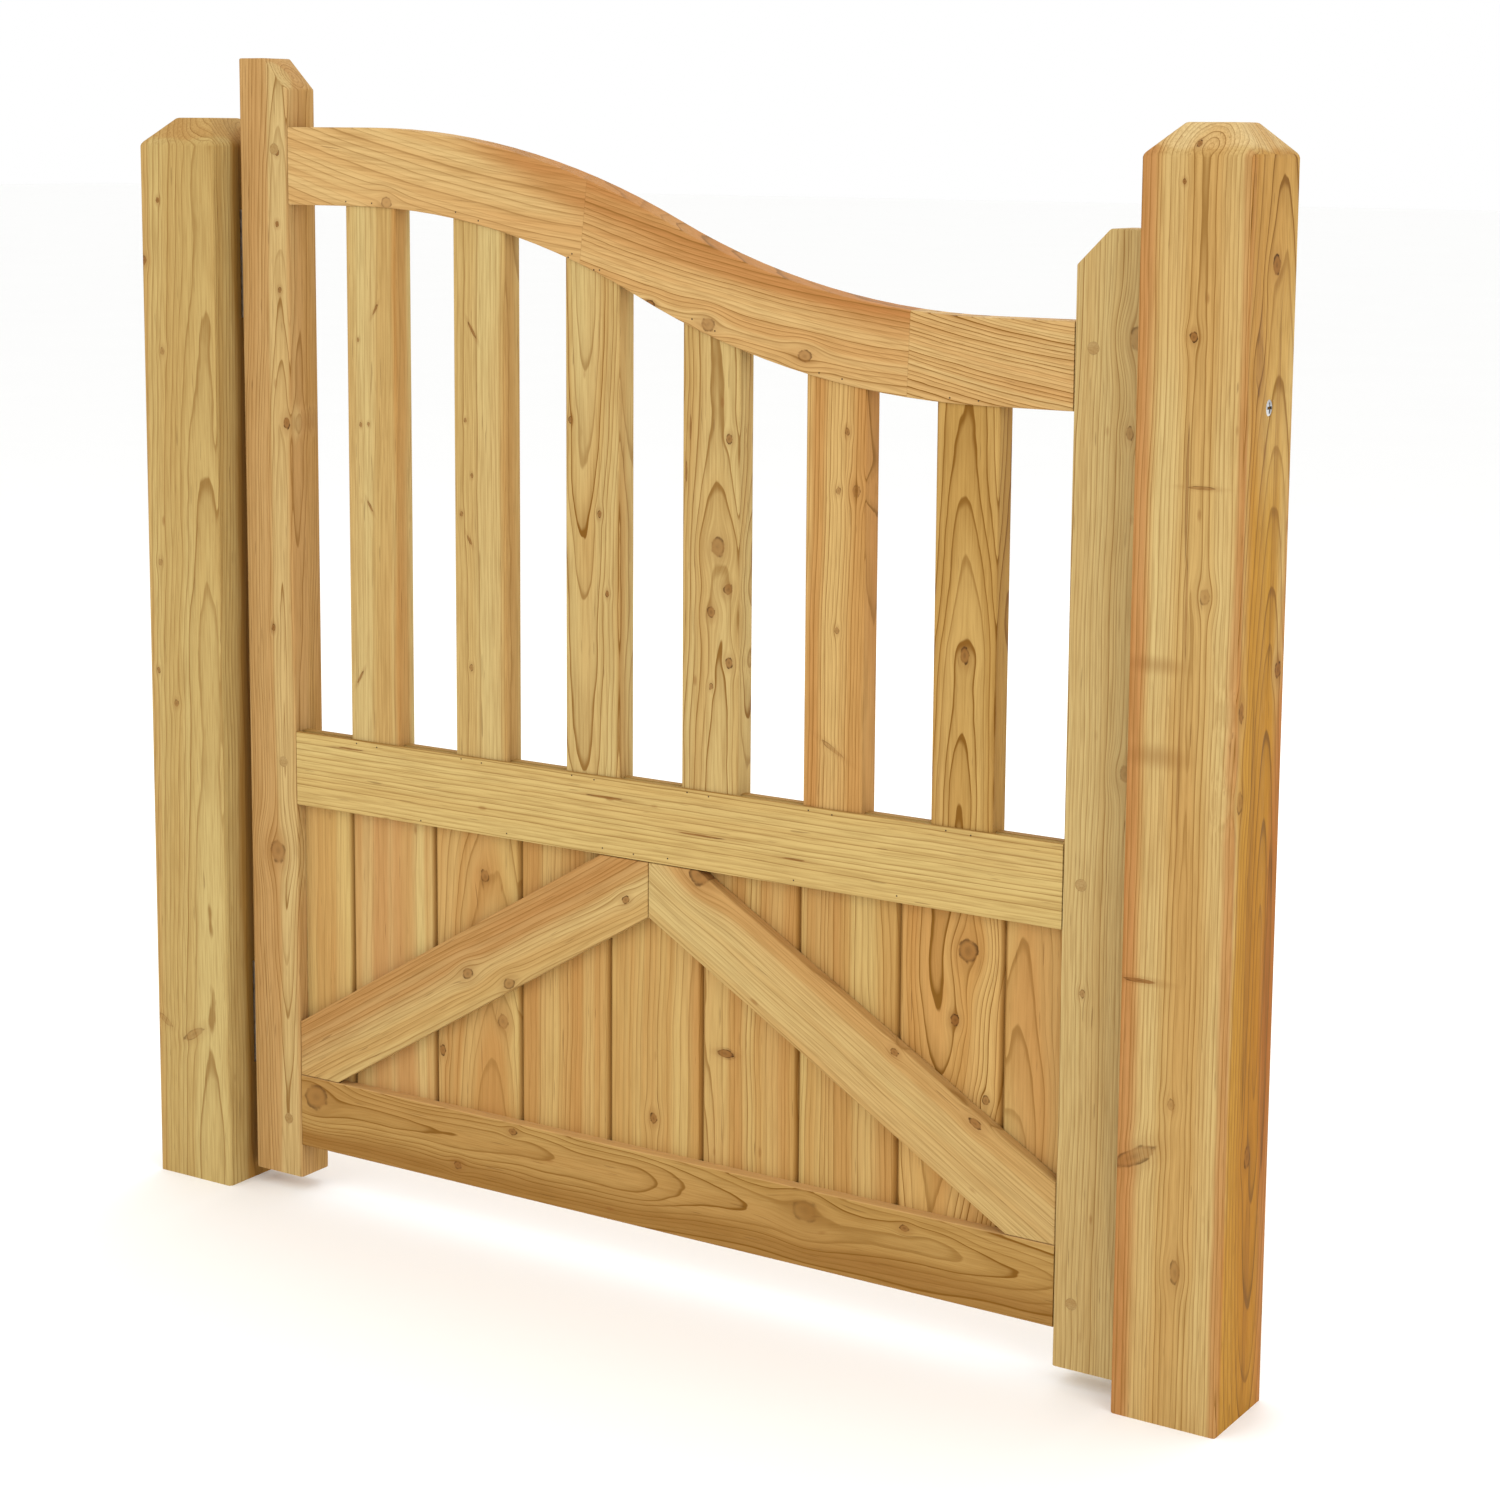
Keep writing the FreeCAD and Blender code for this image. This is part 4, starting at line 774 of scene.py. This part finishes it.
zincPlate = metalMaterial("zinc_plate_finish", {
    "dull": shade(130, 127, 120), "bright": shade(178, 175, 167), "cloud": 120.0, "rub": 0.25})
brightSteel = metalMaterial("bright_steel_finish", {
    "dull": shade(150, 152, 156), "bright": shade(226, 227, 228), "cloud": 160.0, "rub": 0.15})
darkBrad = metalMaterial("brad_finish", {
    "dull": shade(52, 40, 30), "bright": shade(92, 76, 60), "cloud": 400.0, "rub": 0.1})


metalEase = 0.25


def makeMetal(node, finish):
    piece = easedCopy(node, metalEase, Vector((0.0, 0.0, 1.0)))
    piece.data.materials.clear()
    piece.data.materials.append(finish)
    standFor(piece, node)


for hinge in ("upper", "lower"):
    makeMetal(f"hinge_{hinge}_post_flap", zincPlate)
    makeMetal(f"hinge_{hinge}_gate_flap", zincPlate)
    makeMetal(f"hinge_{hinge}_pin", zincPlate)
for node in ("bolt_plate", "bolt_keep"):
    makeMetal(node, zincPlate)
for node in ("bolt_bar", "bolt_knob"):
    makeMetal(node, brightSteel)
print("hinges and bolt done")


# geometry node helpers
def geoTree(name, sizes):
    tree = bpy.data.node_groups.new(name, "GeometryNodeTree")
    tree.interface.new_socket("Geometry", in_out="INPUT", socket_type="NodeSocketGeometry")
    for label in sizes:
        tree.interface.new_socket(label, in_out="INPUT", socket_type="NodeSocketFloat")
    tree.interface.new_socket("Finish", in_out="INPUT", socket_type="NodeSocketMaterial")
    tree.interface.new_socket("Geometry", in_out="OUTPUT", socket_type="NodeSocketGeometry")
    return tree, tree.nodes.new("NodeGroupInput").outputs, tree.nodes.new("NodeGroupOutput").inputs


def geo(tree, kind, **values):
    node = tree.nodes.new(kind)
    for label, value in values.items():
        put(tree, node.inputs[label], value)
    return node


def solidCut(tree, kind, first, second):
    node = tree.nodes.new("GeometryNodeMeshBoolean")
    node.operation = kind
    node.solver = "EXACT"
    tree.links.new(first, node.inputs["Mesh 1" if kind == "DIFFERENCE" else "Mesh 2"])
    tree.links.new(second, node.inputs["Mesh 2"])
    return node.outputs["Mesh"]


def onPoints(tree, points, shape, finish, result):
    aim = tree.nodes.new("GeometryNodeInputNamedAttribute")
    aim.data_type = "FLOAT_VECTOR"
    aim.inputs["Name"].default_value = "aim"
    turn = tree.nodes.new("FunctionNodeAlignRotationToVector")
    turn.axis = "Z"
    put(tree, turn.inputs["Vector"], aim.outputs["Attribute"])
    copies = geo(tree, "GeometryNodeInstanceOnPoints", Points=points, Instance=shape)
    put(tree, copies.inputs["Rotation"], turn.outputs["Rotation"])
    real = geo(tree, "GeometryNodeRealizeInstances", Geometry=copies.outputs[0])
    dressed = geo(tree, "GeometryNodeSetMaterial", Geometry=real.outputs[0], Material=finish)
    put(tree, result, dressed.outputs[0])


# a domed screw with a cross recess, head at the point and shank behind it
screwShape = {"segments": 28, "rings": 14, "sides": 14, "slotReach": 0.6, "domeSink": 0.6, "neck": 0.45}


def buildScrew():
    tree, i, o = geoTree("crossHeadScrew", ["Head", "Dome", "Shank", "Length", "Slot", "Depth"])

    def moved(shape, **values):
        return geo(tree, "GeometryNodeTransform", Geometry=shape, **values).outputs[0]

    def cube(*size):
        return geo(tree, "GeometryNodeMeshCube", Size=joined(tree, *size)).outputs[0]

    half = times(tree, i["Head"], 0.5)
    ball = geo(tree, "GeometryNodeMeshUVSphere", Segments=screwShape["segments"], Rings=screwShape["rings"],
               Radius=1.0).outputs[0]
    dome = moved(ball, Scale=joined(tree, half, half, i["Dome"]))
    down = times(tree, i["Dome"], -1.0)
    dome = moved(dome, Translation=joined(tree, z=down))
    # the lower half of the ball is cut away
    below = calc(tree, "SUBTRACT", times(tree, half, -1.0), i["Dome"])
    block = moved(cube(i["Head"], i["Head"], i["Head"]), Scale=(1.2, 1.2, 1.0),
                  Translation=joined(tree, z=below))
    dome = solidCut(tree, "DIFFERENCE", dome, block)
    radius = times(tree, i["Shank"], 0.5)
    rod = geo(tree, "GeometryNodeMeshCylinder", Vertices=screwShape["sides"], Radius=radius,
              Depth=i["Length"]).outputs[0]
    sink = times(tree, i["Dome"], -screwShape["domeSink"])
    sink = calc(tree, "MULTIPLY_ADD", i["Length"], -0.5, sink)
    rod = moved(rod, Translation=joined(tree, z=sink))
    body = solidCut(tree, "UNION", dome, rod)
    wide = times(tree, i["Head"], screwShape["slotReach"])
    tall = times(tree, i["Depth"], 2.0)
    cross = solidCut(tree, "UNION", cube(wide, i["Slot"], tall), cube(i["Slot"], wide, tall))
    body = solidCut(tree, "DIFFERENCE", body, cross)
    onPoints(tree, i["Geometry"], body, i["Finish"], o["Geometry"])
    return tree


# a small round brad head set just proud of the face
def buildBrad():
    tree, i, o = geoTree("bradHead", ["Head", "Thick"])
    radius = times(tree, i["Head"], 0.5)
    disc = geo(tree, "GeometryNodeMeshCylinder", Vertices=brads["sides"], Radius=radius,
               Depth=i["Thick"]).outputs[0]
    sink = times(tree, i["Thick"], -0.5)
    disc = geo(tree, "GeometryNodeTransform", Geometry=disc, Translation=joined(tree, z=sink)).outputs[0]
    onPoints(tree, i["Geometry"], disc, i["Finish"], o["Geometry"])
    return tree


grownSmooth = 35.0


def growOnPoints(name, tree, places, aims, sizes, finish):
    mesh = bpy.data.meshes.new(name + "_points")
    mesh.from_pydata([tuple(p) for p in places], [], [])
    aim = mesh.attributes.new("aim", "FLOAT_VECTOR", "POINT")
    for entry, direction in zip(aim.data, aims):
        entry.vector = direction
    piece = newObject(name, mesh)
    modifier = piece.modifiers.new("grow", "NODES")
    modifier.node_group = tree
    for item in tree.interface.items_tree:
        if item.item_type != "SOCKET" or item.in_out != "INPUT":
            continue
        if item.name in sizes:
            modifier[item.identifier] = sizes[item.name] * mm
        elif item.name == "Finish":
            modifier[item.identifier] = finish
    bpy.context.view_layer.update()
    grown = bpy.data.meshes.new_from_object(
        piece.evaluated_get(bpy.context.evaluated_depsgraph_get()))
    piece.modifiers.clear()
    piece.data = grown
    grown.name = name
    grown.set_sharp_from_angle(angle=math.radians(grownSmooth))
    return piece


def islands(node):
    # the boxes of the separate solids in one node
    bm = weldedCopy(node)
    left, boxes = set(bm.verts), []
    while left:
        stack, found = [left.pop()], []
        while stack:
            vert = stack.pop()
            found.append(vert.co.copy())
            for edge in vert.link_edges:
                other = edge.other_vert(vert)
                if other in left:
                    left.remove(other)
                    stack.append(other)
        boxes.append((Vector([min(c[k] for c in found) for k in range(3)]),
                      Vector([max(c[k] for c in found) for k in range(3)])))
    bm.free()
    return sorted(boxes, key=lambda b: tuple(round(v, 5) for v in b[0]))


screwTree = buildScrew()
screws = {
    "hinge_post_screws": {"aim": (1, 0, 0), "Dome": 1.6, "Slot": 0.9, "Depth": 1.0},
    "hinge_gate_screws": {"aim": (-1, 0, 0), "Dome": 1.6, "Slot": 0.9, "Depth": 1.0},
    "bolt_plate_screws": {"aim": (0, 1, 0), "Dome": 1.8, "Slot": 0.9, "Depth": 1.1},
    "bolt_keep_screws": {"aim": (-1, 0, 0), "Dome": 1.6, "Slot": 0.9, "Depth": 1.0},
    "post_fixing_screw": {"aim": (1, 0, 0), "Dome": 1.2, "Slot": 2.2, "Depth": 2.6}}
for node, look in screws.items():
    aim = Vector(look["aim"])
    places, length, head = [], 0.0, 0.0
    for low, high in islands(node):
        middle, size = (low + high) / 2, high - low
        reach = abs(size.dot(aim))
        places.append(middle + aim * reach / 2)
        length = reach / mm
        head = max(size[k] for k in range(3) if abs(aim[k]) < 0.5) / mm
    length -= look["Dome"] * screwShape["domeSink"]
    sizes = {"Head": head, "Shank": head * screwShape["neck"], "Length": length, **look}
    finish, slot = (brightSteel, "bright_steel") if node == "post_fixing_screw" else (zincPlate, "zinc_plate")
    piece = growOnPoints(node + "_piece", screwTree, places, [aim] * len(places), sizes, finish)
    standFor(piece, node)
print("screws done")

# brads through the rails into the pales and boards
brads = {"Head": 1.5, "Thick": 0.4, "sides": 10, "proud": 0.05, "face": -19.0}
bradTree = buildBrad()
bradPlaces = [
    (-325, 446), (-301, 445), (-203, 446), (-180, 445), (-80, 446), (-56, 445), (42, 446), (64, 445), (164, 446),
    (187, 445), (295, 446), (318, 445), (-250, 383), (-152, 384), (-47, 385), (-14, 384), (22, 385), (150, 384),
    (250, 385), (-330, 942), (-300, 941), (-205, 935), (-180, 928), (-83, 899), (-79, 902), (-56, 889),
    (-50, 889), (45, 851), (68, 842), (170, 812), (192, 808), (292, 798), (318, 797)]
bradPiece = growOnPoints(
    "rail_brads", bradTree,
    [(x * mm, (brads["face"] - brads["proud"]) * mm, z * mm) for x, z in bradPlaces],
    [(0, -1, 0)] * len(bradPlaces), brads, darkBrad)
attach(bradPiece, "gate_leaf")
print("brads done")

# pale floor
floor = {"half": 40.0, "colour": shade(254, 254, 253), "soft": shade(252, 252, 251), "cloud": 1.5,
         "rough": 0.85, "specular": 0.1}
floorMesh = bpy.data.meshes.new("floor")
h = floor["half"]
floorMesh.from_pydata([(-h, -h, 0), (h, -h, 0), (h, h, 0), (-h, h, 0)], [], [(0, 1, 2, 3)])
floorPiece = newObject("floor", floorMesh)
floorFinish, floorTree, floorBsdf, floorPlace = newMaterial("floor_finish")
floorCloud = noise(floorTree, floorPlace, floor["cloud"])
put(floorTree, floorBsdf.inputs["Base Color"], blend(floorTree, floorCloud, floor["colour"], floor["soft"]))
floorBsdf.inputs["Roughness"].default_value = floor["rough"]
floorBsdf.inputs["Specular IOR Level"].default_value = floor["specular"]
floorMesh.materials.append(floorFinish)

# soft studio light
studio = {"ambient": 1.0, "target": Vector((0.0, 0.0, 0.5))}
world = bpy.data.worlds.new("studio")
bpy.context.scene.world = world
world.use_nodes = True
background = world.node_tree.nodes["Background"]
background.inputs["Color"].default_value = (1.0, 1.0, 1.0, 1.0)
background.inputs["Strength"].default_value = studio["ambient"]
lamps = {
    "key": {"at": (-1.6, -3.4, 2.6), "size": 2.4, "power": 42.0, "colour": (1.0, 0.985, 0.96)},
    "fill": {"at": (3.2, -1.4, 1.6), "size": 2.2, "power": 30.0, "colour": (1.0, 0.98, 0.95)},
    "over": {"at": (0.2, 0.8, 3.4), "size": 2.6, "power": 20.0, "colour": (1.0, 1.0, 1.0)},
    "rear": {"at": (-1.2, 3.4, 2.2), "size": 2.4, "power": 26.0, "colour": (1.0, 0.99, 0.97)}}
for name, lamp in lamps.items():
    light = bpy.data.lights.new(name, "AREA")
    light.energy, light.size, light.color = lamp["power"], lamp["size"], lamp["colour"]
    holder = newObject(name, light)
    holder.location = lamp["at"]
    aim = studio["target"] - Vector(lamp["at"])
    holder.rotation_euler = aim.to_track_quat("-Z", "Y").to_euler()

# camera at the photograph's angle
shot = {"at": (1.4454, -2.1134, 1.0045), "yaw": 32.630, "pitch": 8.253, "roll": 0.409,
        "lens": 72.11, "sensor": 36.0, "shift": -0.12}
camera = newObject("camera", bpy.data.cameras.new("camera"))
camera.data.lens, camera.data.sensor_width = shot["lens"], shot["sensor"]
camera.data.shift_y = shot["shift"]
camera.matrix_world = (
    Matrix.Translation(shot["at"]) @ Matrix.Rotation(math.radians(shot["yaw"]), 4, "Z")
    @ Matrix.Rotation(math.radians(90.0 - shot["pitch"]), 4, "X")
    @ Matrix.Rotation(math.radians(shot["roll"]), 4, "Z"))
bpy.context.scene.camera = camera
bpy.context.scene.view_settings.view_transform = "Standard"
print("floor, light and camera set")
